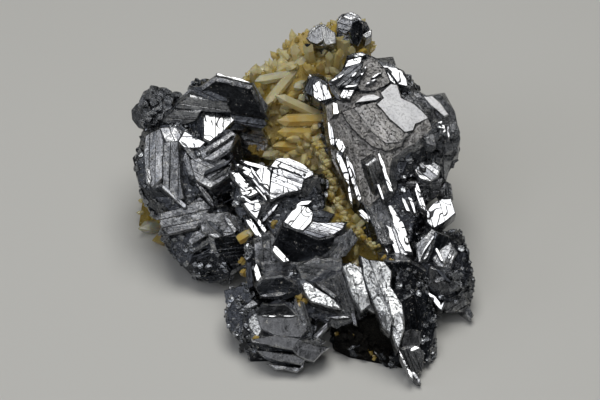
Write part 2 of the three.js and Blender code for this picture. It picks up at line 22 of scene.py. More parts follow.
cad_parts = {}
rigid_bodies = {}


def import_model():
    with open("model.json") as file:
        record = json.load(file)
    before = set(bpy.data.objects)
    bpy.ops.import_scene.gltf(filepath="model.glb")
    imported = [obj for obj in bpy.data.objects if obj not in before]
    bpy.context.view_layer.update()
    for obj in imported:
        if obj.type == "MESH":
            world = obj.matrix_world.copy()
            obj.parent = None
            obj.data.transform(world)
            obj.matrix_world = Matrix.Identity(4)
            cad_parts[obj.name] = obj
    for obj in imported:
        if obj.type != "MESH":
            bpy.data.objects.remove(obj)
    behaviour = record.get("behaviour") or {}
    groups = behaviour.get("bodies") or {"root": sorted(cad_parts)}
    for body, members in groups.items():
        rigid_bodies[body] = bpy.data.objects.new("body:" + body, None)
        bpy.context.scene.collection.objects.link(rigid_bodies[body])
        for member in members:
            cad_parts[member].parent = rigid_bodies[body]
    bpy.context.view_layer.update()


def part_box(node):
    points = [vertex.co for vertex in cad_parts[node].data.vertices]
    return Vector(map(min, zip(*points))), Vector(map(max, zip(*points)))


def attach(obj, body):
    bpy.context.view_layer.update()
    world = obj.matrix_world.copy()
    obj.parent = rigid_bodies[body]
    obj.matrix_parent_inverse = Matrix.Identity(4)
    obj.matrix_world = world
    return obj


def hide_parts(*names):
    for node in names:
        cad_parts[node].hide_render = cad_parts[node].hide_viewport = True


LOG = logging.getLogger("specimen")

MM = 0.001  # metres in a millimetre; shapes are worked out in millimetres
Pixel = tuple[float, float]
Spot = tuple[float, float, float]
Turn = tuple[float, float]
Range = tuple[float, float]
Socket = bpy.types.NodeSocket

MIRRORS_LIGHT: Turn = (3, 22)  # the yaw and pitch of a face that mirrors the light overhead
NEAR_MIRROR: Turn = (9, 7)  # how far from those a face may look and still be bright

SHARPEST = 0.35  # holds back the corners of an outline that would shoot out where it is widened
BEVEL = 1.4  # how much deeper than wide a crystal's bevelled edges are


@dataclass(frozen=True)
class Display:
    """The frame that the crystals are set out in: right, up, and out towards the eye."""

    pixel: float = 0.2  # millimetres on the specimen for one picture pixel
    middle: Pixel = (300, 200)  # the picture's middle, in pixels
    distance: float = 600  # millimetres from the eye to the picture's middle
    tilt: float = math.radians(40)  # how far above the horizon the eye stands
    origin: Vector = Vector((-0.172, 17.921, 0))  # the picture's middle in the specimen's frame

    @property
    def right(self) -> Vector:
        """The way that the picture's right side points."""
        return Vector((1, 0, 0))

    @property
    def up(self) -> Vector:
        """The way that the picture's top points."""
        return Vector((0, math.sin(self.tilt), math.cos(self.tilt)))

    @property
    def out(self) -> Vector:
        """The way to the eye."""
        return Vector((0, -math.cos(self.tilt), math.sin(self.tilt)))

    def place(self, u: float, v: float, out: float) -> Vector:
        """Finds the point seen at a picture pixel.

        Args:
            u: Pixels from the picture's left side.
            v: Pixels from the picture's top.
            out: Millimetres that the point stands towards the eye.

        Returns:
            The point in the specimen's frame, in millimetres.
        """
        scale = self.pixel * (1 - out / self.distance)
        across = self.right * (u - self.middle[0]) * scale
        upward = self.up * (self.middle[1] - v) * scale
        return self.origin + across + upward + self.out * out

    def facing(self, turn: Turn) -> Vector:
        """Finds the direction that a face looks in.

        Args:
            turn: Degrees to the right and degrees up, from the way to the eye.

        Returns:
            The direction as a unit vector.
        """
        yaw, pitch = (math.radians(angle) for angle in turn)
        level = self.right * math.sin(yaw) + self.out * math.cos(yaw)
        return level * math.cos(pitch) + self.up * math.sin(pitch)

    def frame_on(self, origin: Vector, normal: Vector, spin: float = 0) -> Matrix:
        """Sets up a frame whose Z axis is a given direction.

        Args:
            origin: The frame's origin, in millimetres.
            normal: The direction of its Z axis.
            spin: Degrees that it is turned about that axis.

        Returns:
            The matrix from that frame to the specimen's.
        """
        across = self.up.cross(normal).normalized()
        along = normal.cross(across)
        axes = Matrix((across, along, normal)).transposed().to_4x4()
        return Matrix.Translation(origin) @ axes @ Matrix.Rotation(math.radians(spin), 4, "Z")

    def seen_face(self, outline: Sequence[Pixel], out: float, turn: Turn) -> tuple[list[Vector], Matrix]:
        """Finds the flat face that is seen as an outline in the picture.

        Args:
            outline: The outline's corners, in pixels.
            out: Millimetres that its middle stands towards the eye.
            turn: The way that the face looks.

        Returns:
            Its corners in its own plane, anticlockwise, and the matrix of that plane.
        """
        u = sum(corner[0] for corner in outline) / len(outline)
        v = sum(corner[1] for corner in outline) / len(outline)
        origin = self.place(u, v, out)
        normal = self.facing(turn)
        matrix = self.frame_on(origin, normal)
        to_plane = matrix.inverted()
        corners = []
        for corner in outline:
            near = self.place(*corner, out)
            sight = (near - self.place(*corner, out + 1)).normalized()
            reach = (origin - near).dot(normal) / sight.dot(normal)
            corners.append((to_plane @ (near + sight * reach)).to_2d())
        if signed_area(corners) < 0:
            corners.reverse()
        return corners, matrix


DISPLAY = Display()


def edges_of(points: Sequence[Vector]) -> Iterator[tuple[Vector, Vector]]:
    """Goes round an outline's edges, each as its start and its end."""
    return zip(points, [*points[1:], points[0]])


def signed_area(points: Sequence[Vector]) -> float:
    """Finds an outline's area, which is positive where its points run anticlockwise."""
    return sum(a.x * b.y - b.x * a.y for a, b in edges_of(points)) / 2


def middle_of(points: Sequence[Vector]) -> Vector:
    """Finds the mean of an outline's corners."""
    return sum(points, Vector((0, 0))) / len(points)


def widened(points: Sequence[Vector], distance: float) -> list[Vector]:
    """Moves every edge of an anticlockwise outline out.

    Args:
        points: The outline's corners.
        distance: Millimetres that each edge moves; negative draws it in.

    Returns:
        The new corners.
    """
    moved = []
    for i, point in enumerate(points):
        before = edge_normal(points[i - 1], point)
        after = edge_normal(point, points[(i + 1) % len(points)])
        reach = distance / max(SHARPEST, 1 + before.dot(after))
        moved.append(point + (before + after) * reach)
    return moved


def edge_normal(start: Vector, end: Vector) -> Vector:
    """Finds the way out of an anticlockwise outline through one of its edges."""
    return Vector((end.y - start.y, start.x - end.x)).normalized()


def clipped(points: Sequence[Vector], normal: Vector, limit: float) -> list[Vector]:
    """Keeps the part of an outline that lies behind a line.

    Args:
        points: The outline's corners.
        normal: The direction across the line.
        limit: How far along that direction the line lies.

    Returns:
        The corners of the part that is kept, which may be none.
    """
    kept = []
    for point, following in edges_of(points):
        here = point.dot(normal) - limit
        there = following.dot(normal) - limit
        if here <= 0:
            kept.append(point)
        if here * there < 0:
            kept.append(point.lerp(following, here / (here - there)))
    return kept


def tidied(points: Sequence[Vector], shortest: float) -> list[Vector]:
    """Drops the corners of an outline that stand closer than a given distance to the one before."""
    kept: list[Vector] = []
    for point in points:
        if not kept or (point - kept[-1]).length > shortest:
            kept.append(point)
    if len(kept) > 1 and (kept[0] - kept[-1]).length <= shortest:
        kept.pop()
    return kept


def longest_edge(points: Sequence[Vector]) -> float:
    """Finds the direction of an outline's longest edge, in radians."""
    edge = max((b - a for a, b in edges_of(points)), key=lambda side: side.length)
    return math.atan2(edge.y, edge.x)


def ragged(points: Sequence[Vector], step: float, depth: float, chance: random.Random) -> list[Vector]:
    """Breaks an outline's long edges into the small steps of a grown crystal.

    Args:
        points: The outline's corners.
        step: The least distance between two steps, in millimetres.
        depth: How far a step stands in or out.
        chance: The source of chance.

    Returns:
        The corners with those of the steps.
    """
    broken = []
    for start, end in edges_of(points):
        broken.append(start)
        count = int((end - start).length / step)
        aside = edge_normal(start, end)
        for k in range(1, count):
            share = (k + chance.uniform(-0.3, 0.3)) / count
            broken.append(start.lerp(end, share) + aside * chance.gauss(0, depth))
    return broken


def hull_of(corners: Iterable[Sequence[float]], flat: bool = True) -> bmesh.types.BMesh:
    """Makes the hull of some corners.

    Args:
        corners: The corners.
        flat: Whether the triangles that lie in one plane are joined into a face.

    Returns:
        The hull, which the caller frees.
    """
    shape = bmesh.new()
    for corner in corners:
        shape.verts.new(corner)
    bmesh.ops.convex_hull(shape, input=shape.verts)
    if flat:
        bmesh.ops.dissolve_limit(shape, angle_limit=0.01, verts=shape.verts, edges=shape.edges)
    return shape


def placed(shape: bmesh.types.BMesh, matrix: Matrix) -> tuple[list[Vector], list[tuple[int, ...]]]:
    """Turns a shape's faces outwards and finds its corners in the specimen's frame, and its faces."""
    bmesh.ops.recalc_face_normals(shape, faces=shape.faces)
    shape.verts.index_update()
    faces = [tuple(vert.index for vert in face.verts) for face in shape.faces]
    return [matrix @ vert.co for vert in shape.verts], faces


class Finish(Enum):
    """The finishes that a crystal's faces come in, each with its material's name."""

    CLEAVAGE = "galena_cleavage"
    BRUSHED = "galena_brushed"
    WORN = "galena_worn"
    SPARKLING = "galena_sparkling"
    MOTTLED = "galena_mottled"
    FROSTED = "galena_frosted"
    SATIN = "galena_satin"
    TARNISHED = "galena_tarnished"
    RIND = "galena_rind"
    DULL = "galena_matte"
    QUARTZ_PRISM = "quartz_prism"
    QUARTZ_POINT = "quartz_point"
    QUARTZ_BED = "quartz_bed"
    QUARTZ_GRAIN = "quartz_grain"


@dataclass
class Shell:
    """One closed crystal of flat faces, in millimetres.

    Attributes:
        corners: Its corners in the specimen's frame.
        faces: Its faces, each as the numbers of its corners.
        finishes: The finish of each face.
        grains: The direction across the striations of each face.
        tone: A number from 0 to 1 that sets this crystal apart from its neighbours.
        rough: Whether small crystals may grow on it.
    """

    corners: list[Vector]
    faces: list[tuple[int, ...]]
    finishes: list[Finish]
    grains: list[Vector]
    tone: float
    rough: bool = False

    def mesh(self) -> bpy.types.Mesh:
        """Makes the crystal's mesh, in metres."""
        mesh = bpy.data.meshes.new("crystal")
        mesh.from_pydata([corner * MM for corner in self.corners], [], self.faces)
        rows = (
            ("finish", "INT", "value", [list(Finish).index(kind) for kind in self.finishes]),
            ("grain", "FLOAT_VECTOR", "vector", [axis for side in self.grains for axis in side]),
            ("tone", "FLOAT", "value", [self.tone] * len(self.faces)),
            ("rough", "FLOAT", "value", [float(self.rough)] * len(self.faces)),
        )
        for name, kind, key, values in rows:
            mesh.attributes.new(name, kind, "FACE").data.foreach_set(key, values)
        return mesh


@dataclass(frozen=True)
class Surface:
    """How a tablet's faces are finished.

    Attributes:
        front: The finish of its front face.
        edge: The finish of its bevelled edges.
        side: The finish of its other faces.
        angle: The direction of the striations on its front, in radians.
        tone: A number from 0 to 1 that sets it apart from its neighbours.
    """

    front: Finish
    edge: Finish
    side: Finish
    angle: float
    tone: float


def tablet(
    points: Sequence[Vector], matrix: Matrix, rings: Sequence[tuple[float, float]], surface: Surface
) -> Shell:
    """Builds a closed crystal through rings of one outline.

    Args:
        points: The outline's corners, anticlockwise in the tablet's plane.
        matrix: The matrix of that plane, whose Z axis points out of the front.
        rings: For each ring, how much wider it is and how far back it lies, front first.
        surface: How the faces are finished.

    Returns:
        The crystal.
    """
    count = len(points)
    last = len(rings) - 1
    corners = [
        matrix @ Vector((point.x, point.y, -back))
        for wider, back in rings
        for point in widened(points, wider)
    ]
    faces = [tuple(range(count))]
    for k in range(last):
        for i in range(count):
            a = k * count + i
            b = k * count + (i + 1) % count
            faces.append((a, a + count, b + count, b))
    faces.append(tuple(reversed(range(last * count, last * count + count))))
    turn = matrix.to_3x3()
    across = turn @ Vector((-math.sin(surface.angle), math.cos(surface.angle), 0))
    normal = turn @ Vector((0, 0, 1))
    rim = count if last > 1 else 0
    finishes = [surface.front] + [surface.edge] * rim + [surface.side] * (len(faces) - 1 - rim)
    grains = [across] + [normal] * (len(faces) - 1)
    return Shell(corners, faces, finishes, grains, surface.tone)


@dataclass(frozen=True)
class Relief:
    """The growth strips and ledges that stand on a crystal's front face, in millimetres.

    Attributes:
        spacing: The mean width of a strip.
        groove: The gap between two strips.
        lift: How far one strip stands above another.
        tilt: How far a strip leans, in degrees.
        bend: How far the last strip leans from the first, in degrees.
        thick: How deep a strip reaches into the crystal.
        rim: The width of the strips' bevelled edges.
        smallest: The area below which a face isn't parted, in square millimetres.
    """

    spacing: float = 1.3
    groove: float = 0.05
    lift: float = 0.09
    tilt: float = 2.2
    bend: float = 0
    thick: float = 0.7
    rim: float = 0.05
    smallest: float = 2.5

    def strips(
        self, points: Sequence[Vector], matrix: Matrix, surface: Surface, chance: random.Random
    ) -> Iterator[Shell]:
        """Parts a face into strips that lean and stand a little apart.

        Args:
            points: The face's corners in its plane.
            matrix: The matrix of that plane.
            surface: How the face is finished.
            chance: The source of chance.

        Yields:
            The strips.
        """
        along = Vector((math.cos(surface.angle), math.sin(surface.angle)))
        across = Vector((-along.y, along.x))
        first = min(point.dot(across) for point in points)
        end = max(point.dot(across) for point in points)
        start = first
        while start < end:
            stop = start + self.spacing * chance.uniform(0.45, 1.6)
            if end - stop < self.spacing * 0.4:
                stop = end
            strip = clipped(points, across, stop - self.groove)
            strip = clipped(strip, -across, -start)
            strip = tidied(strip, self.rim * 2.5)
            share = ((start + stop) / 2 - first) / (end - first)
            start = stop
            if len(strip) < 3 or signed_area(strip) < self.rim * 4:
                continue
            hinge = middle_of(strip).to_3d()
            angle = math.radians(chance.gauss(0, self.tilt) + self.bend * (0.5 - share))
            lean = Matrix.Rotation(angle, 4, along.to_3d())
            raised = Matrix.Translation(hinge + Vector((0, 0, chance.uniform(-1, 1) * self.lift)))
            plane = matrix @ raised @ lean @ Matrix.Translation(-hinge)
            rings = [(-self.rim, 0), (0, self.rim), (0, self.thick)]
            yield tablet(strip, plane, rings, surface)


BARE = Relief(lift=0, rim=0.03, smallest=math.inf)
PLAIN = Relief(rim=0.07)
FINE = Relief(spacing=0.75, lift=0.05, tilt=1.6)
CALM = Relief(spacing=3.2, groove=0.02, lift=0.04, tilt=0.7, rim=0.04)
STEPPED = Relief(spacing=1.7, groove=0.07, lift=0.12, tilt=4)
BENT = Relief(spacing=0.6, groove=0.02, lift=0.01, tilt=0.6, bend=26)

# The finishes that a crystal shows on all its sides.
PLAIN_SIDED = (Finish.RIND, Finish.QUARTZ_BED)

# The finishes whose bevelled edges look like their faces; those of the others catch the light, and get the
# lighter cleavage colour as a painted highlight.
SAME_EDGED = (Finish.FROSTED, Finish.WORN, Finish.MOTTLED, Finish.DULL)

# The small steps in a crystal's edges, in millimetres.
STEP_LENGTH = 1.5
STEP_DEPTH = 0.1

# The relief that each finish has where a crystal doesn't name its own.
RELIEFS = {
    Finish.CLEAVAGE: STEPPED,
    Finish.MOTTLED: CALM,
    Finish.WORN: CALM,
    Finish.FROSTED: BARE,
    Finish.SATIN: BARE,
    Finish.DULL: BARE,
    Finish.RIND: BARE,
    Finish.QUARTZ_BED: BARE,
}


@dataclass(frozen=True)
class Plate:
    """A crystal whose front face is seen as an outline in the picture.

    Attributes:
        outline: The front face's corners, in pixels.
        out: Millimetres that it stands towards the eye.
        turn: The way that the face looks, in degrees right and up.
        thick: The crystal's thickness, in millimetres.
        flare: How much wider it is at the back.
        slope: How far back the flare ends.
        finish: The front's finish; none for one picked by the way it looks.
        relief: The strips on its face; none for those that its finish has.
    """

    outline: tuple[Pixel, ...]
    out: float
    turn: Turn
    thick: float = 3
    flare: float = 0.2
    slope: float = 0.3
    finish: Finish | None = None
    relief: Relief | None = None

    def shells(self, chance: random.Random) -> Iterator[Shell]:
        """Builds the crystal with the growth strips on its front.

        Args:
            chance: The source of chance.

        Yields:
            The closed shells that it is made of.
        """
        points, matrix = DISPLAY.seen_face(self.outline, self.out, self.turn)
        angle = longest_edge(points)
        points = ragged(points, STEP_LENGTH, STEP_DEPTH, chance)
        finish = self.picked_finish(chance)
        plain = finish in PLAIN_SIDED
        side = finish if plain else Finish.BRUSHED
        # Rims that don't look like their face get the lighter cleavage colour, a painted highlight.
        edge = finish if plain or finish in SAME_EDGED else Finish.CLEAVAGE
        surface = Surface(finish, edge, side, angle, chance.random())
        relief = self.relief or RELIEFS.get(finish, PLAIN)
        rim = relief.rim
        parted = signed_area(points) > relief.smallest
        sunk = relief.lift + relief.groove if parted else 0
        body = matrix @ Matrix.Translation((0, 0, -sunk))
        depth = self.slope + self.thick
        rings = [(-rim, 0), (0, rim * BEVEL), (self.flare, self.slope + rim * 2), (self.flare, depth)]
        # The body's front, sunk under the strips and seen only in the grooves between them, is painted
        # near-black as shade.
        under = replace(surface, front=Finish.RIND) if parted else surface
        yield tablet(points, body, rings, under)
        if parted:
            yield from relief.strips(points, matrix, replace(surface, edge=finish), chance)

    def picked_finish(self, chance: random.Random) -> Finish:
        """Picks the front's finish by the way that it looks; a face that mirrors the overhead light gets the
        lighter cleavage colour, a painted highlight.
        """
        if self.finish is not None:
            return self.finish
        if all(abs(a - b) <= near for a, b, near in zip(self.turn, MIRRORS_LIGHT, NEAR_MIRROR)):
            return Finish.CLEAVAGE
        return chance.choice((Finish.BRUSHED, Finish.BRUSHED, Finish.TARNISHED))


@dataclass(frozen=True)
class Lath:
    """A long narrow crystal between two picture points, with pointed ends.

    Attributes:
        start: One end, in pixels.
        end: The other end, in pixels.
        width: Its width, in pixels.
        out: Millimetres that it stands towards the eye.
        turn: The way that its face looks.
        thick: Its thickness, in millimetres.
        finish: Its finish; none for one picked by the way it looks.
        relief: The strips on its face.
        taper: The least and the most of its length that a corner tapers over.
    """

    start: Pixel
    end: Pixel
    width: float
    out: float
    turn: Turn
    thick: float = 1.2
    finish: Finish | None = None
    relief: Relief = FINE
    taper: Range = (0.04, 0.38)

    def shells(self, chance: random.Random) -> Iterator[Shell]:
        """Builds the crystal as a plate with six corners, each end pointed to one side."""
        run = Vector(self.end) - Vector(self.start)
        along = run.normalized()
        across = Vector((-along.y, along.x))
        side = self.width / 2
        cuts = [run.length * chance.uniform(*self.taper) for _ in range(4)]
        ends = (
            (0, side * chance.uniform(-0.9, 0.9)),
            (cuts[0], -side),
            (run.length - cuts[1], -side * chance.uniform(0.7, 1)),
            (run.length, side * chance.uniform(-0.9, 0.9)),
            (run.length - cuts[2], side),
            (cuts[3], side * chance.uniform(0.7, 1)),
        )
        outline = tuple(tuple(Vector(self.start) + along * a + across * b) for a, b in ends)
        sizes = {"thick": self.thick, "flare": 0.1, "finish": self.finish, "relief": self.relief}
        yield from Plate(outline, self.out, self.turn, **sizes).shells(chance)


@dataclass(frozen=True)
class Twin:
    """A six-sided tablet, flattened as a spinel-law twin, whose alternate edges stand closer in.

    Attributes:
        spot: The middle of its front, as pixels right and down and millimetres out.
        across: Its width, in millimetres.
        thick: Its thickness.
        turn: The way that its front looks.
        spin: Degrees that it is turned in its own plane.
        cut: How far in the alternate edges stand.
    """

    spot: Spot
    across: float
    thick: float
    turn: Turn
    spin: float = 0
    cut: float = 0.85

    def shells(self, chance: random.Random) -> Iterator[Shell]:
        """Builds the tablet, widest halfway through, with strips on its front."""
        reach = [self.across / 2 * (self.cut if k % 2 else 1) for k in range(7)]
        points = []
        for k in range(6):
            angle = (k + 0.5) * math.tau / 6
            outward = (reach[k] + reach[k + 1]) / 2 / math.cos(math.pi / 6)
            aside = (reach[k + 1] - reach[k]) / 2 / math.sin(math.pi / 6)
            points.append(Vector((outward, aside)) @ Matrix.Rotation(-angle, 2))
        matrix = DISPLAY.frame_on(DISPLAY.place(*self.spot), DISPLAY.facing(self.turn), self.spin)
        finish = chance.choice((Finish.BRUSHED, Finish.BRUSHED, Finish.TARNISHED, Finish.CLEAVAGE))
        angle = chance.uniform(0, math.pi)
        surface = Surface(finish, Finish.BRUSHED, Finish.BRUSHED, angle, chance.random())
        edge = self.thick * 0.3
        rings = [(-edge, 0), (0, self.thick / 2), (-edge, self.thick)]
        yield tablet(points, matrix, rings, surface)
        front = widened(points, -edge - 0.1)
        if signed_area(front) > PLAIN.smallest:
            yield from PLAIN.strips(front, matrix, surface, chance)


@dataclass(frozen=True)
class Block:
    """A cube whose corners are cut by an octahedron.

    Attributes:
        spot: Its middle, as pixels right and down and millimetres out.
        size: Its sides, in millimetres.
        turn: The way that it looks.
        spin: Degrees that it is turned about that way.
        cut: 1 for a plain block, down to 0.5 for an octahedron with no cube left.
        finish: The finish of its faces; none for the plain dark one.
        rough: Whether small crystals may grow on it.
        rim: The width of its bevelled edges.
    """

    spot: Spot
    size: Spot
    turn: Turn = (0, 0)
    spin: float = 0
    cut: float = 0.74
    finish: Finish | None = None
    rough: bool = True
    rim: float = 0.12

    def shells(self, chance: random.Random) -> Iterator[Shell]:
        """Builds the block with bevelled edges."""
        matrix = DISPLAY.frame_on(DISPLAY.place(*self.spot), DISPLAY.facing(self.turn), self.spin)
        cube = self.corners()
        shape = hull_of([axis * side / 2 for axis, side in zip(corner, self.size)] for corner in cube)
        if self.rim:
            bmesh.ops.bevel(shape, geom=shape.edges, offset=self.rim, segments=1, affect="EDGES")
        corners, faces = placed(shape, matrix)
        turn = matrix.to_3x3()
        # No face of a cut cube looks this way, so every face gets a direction of its own.
        tilted = Vector((0.36, 0.48, 0.8))
        grains = [(turn @ face.normal.cross(tilted)).normalized() for face in shape.faces]
        shape.free()
        finishes = [self.finish or Finish.TARNISHED] * len(faces)
        yield Shell(corners, faces, finishes, grains, chance.random(), self.rough)

    def corners(self) -> set[tuple[float, ...]]:
        """Finds the corners of the cut cube, whose sides run from -1 to 1."""
        reach = self.cut * 3
        third = (1, 1, reach - 2) if reach >= 2 else (1, reach - 1, 0)
        orders = [(0, 1, 2), (1, 2, 0), (2, 0, 1), (0, 2, 1), (1, 0, 2), (2, 1, 0)]
        signs = [(a, b, c) for a in (1, -1) for b in (1, -1) for c in (1, -1)]
        return {
            tuple(third[order[k]] * sign[k] for k in range(3))
            for order in orders
            for sign in signs
        }


@dataclass(frozen=True)
class BackGrowth:
    """Crystals grown round a core, on the sides that turn away from the eye.

    Attributes:
        spot: The core's middle, as pixels right and down and millimetres out.
        radius: How far from it they stand, in millimetres.
        count: How many there are.
        seed: Where their chance starts.
        side: Their mean size, in millimetres.
    """

    spot: Spot
    radius: float
    count: int
    seed: int
    side: float

    def shells(self, chance: random.Random) -> Iterator[Shell]:
        """Builds twins and blocks by turns round the core."""
        own = random.Random(self.seed)
        u, v, out = self.spot
        for k in range(self.count):
            # The crystals go round the core, each between a quarter of the way back and right behind.
            turn = (k + own.random() * 0.7) / self.count * math.tau
            depth = 0.25 + own.random() * 0.75
            ring = math.sqrt(1 - depth * depth * 0.8)
            across = math.cos(turn) * ring
            down = math.sin(turn) * ring
            reach = self.radius / DISPLAY.pixel
            spot = (u + across * reach, v + down * reach, out - depth * self.radius)
            looks = (math.degrees(math.atan2(across, -depth)), math.degrees(math.asin(-down)))
            big = self.side * (0.7 + own.random() * 0.6)
            spin = own.random() * 60
            if k % 2:
                yield from Twin(spot, big * 1.5, big * 0.55, looks, spin, 0.72).shells(chance)
            else:
                block = Block(spot, (big, big * 0.9, big * 0.6), looks, spin, 0.84)
                yield from block.shells(chance)


@dataclass(frozen=True)
class Cluster:
    """A few small blocks grown on one spot.

    Attributes:
        spot: Its middle, as pixels right and down and millimetres out.
        side: The mean size of a block, in millimetres.
        count: How many blocks there are.
        finish: Their finish; none for the plain dark one.
        spread: How far from the middle they stand, in block sides.
        sides: How small and how large the blocks' sides are, in mean sides.
        yaws: How far left and right they turn, in degrees.
        pitches: How far down and up they turn, in degrees.
        cuts: How much and how little of their corners is cut, as a block's cut.
    """

    spot: Spot
    side: float
    count: int = 3
    finish: Finish | None = None
    spread: float = 0.6
    sides: Range = (0.6, 1.3)
    yaws: Range = (-40, 40)
    pitches: Range = (-30, 50)
    cuts: Range = (0.78, 0.95)

    def shells(self, chance: random.Random) -> Iterator[Shell]:
        """Builds the blocks, each turned its own way."""
        for _ in range(self.count):
            reach = self.side * self.spread
            offset = [chance.uniform(-reach, reach) for _ in range(3)]
            u, v, out = self.spot
            spot = (u + offset[0] / DISPLAY.pixel, v + offset[1] / DISPLAY.pixel, out + offset[2] / 2)
            size = tuple(self.side * chance.uniform(*self.sides) for _ in range(3))
            turn = (chance.uniform(*self.yaws), chance.uniform(*self.pitches))
            cut = chance.uniform(*self.cuts)
            block = Block(spot, size, turn, chance.uniform(0, 90), cut, self.finish, False, 0.04)
            yield from block.shells(chance)


@dataclass(frozen=True)
class Point:
    """A six-sided quartz prism with a rhombohedral tip, in pixels and millimetres.

    Attributes:
        root: The foot of its axis, as pixels right and down and millimetres out.
        tip: Its tip, given in the same way.
        radius: The prism's radius, in millimetres.
        cap: The height of its tip, in radii.
        finish: Its finish.
        taper: How wide it is under its tip, for a foot of 1.
        blunt: How wide the tip's end is, for a foot of 1.
        high: How high every other face of the tip starts below its end, in caps.
        low: How low the faces between them start.
    """

    root: Spot
    tip: Spot
    radius: float
    cap: float = 1.5
    finish: Finish = Finish.QUARTZ_PRISM
    taper: float = 0.93
    blunt: float = 0.12
    high: float = 0.8
    low: float = 1.12

    def shells(self, chance: random.Random) -> Iterator[Shell]:
        """Builds the prism, a little narrower towards its tip."""
        start = DISPLAY.place(*self.root)
        end = DISPLAY.place(*self.tip)
        axis = (end - start).normalized()
        matrix = Matrix.Translation(end) @ axis.to_track_quat("Z", "Y").to_matrix().to_4x4()
        spin = chance.uniform(0, math.tau)
        sides = [
            Vector((math.cos(spin + k * math.tau / 6), math.sin(spin + k * math.tau / 6)))
            * self.radius * chance.uniform(0.9, 1.08)
            for k in range(6)
        ]
        length = (end - start).length
        ends = []
        for k, side in enumerate(sides):
            below = self.radius * self.cap * (self.high if k % 2 else self.low)
            ends.append((side.x * self.taper, side.y * self.taper, -below))
            ends.append((side.x, side.y, -length))
        for side, below in ((sides[0], 0), (sides[2], self.radius * 0.05)):
            ends.append((side.x * self.blunt, side.y * self.blunt, -below))
        shape = hull_of(ends, flat=False)
        corners, faces = placed(shape, matrix)
        shape.free()
        grains = [axis] * len(faces)
        yield Shell(corners, faces, [self.finish] * len(faces), grains, chance.random())


Crystal = Plate | Lath | Block | BackGrowth | Cluster | Point  # the kinds that the lists hold


def alike(kind: type[Crystal], *rows: tuple, **shared: object) -> Iterator[Crystal]:
    """Makes a crystal of each row, with the sizes that all of them share."""
    return (kind(*row, **shared) for row in rows)


# The crystals of each piece, by where the photograph shows them: pixels right and down, and
# millimetres out. Chance is drawn in the order of the lists, so it matters.


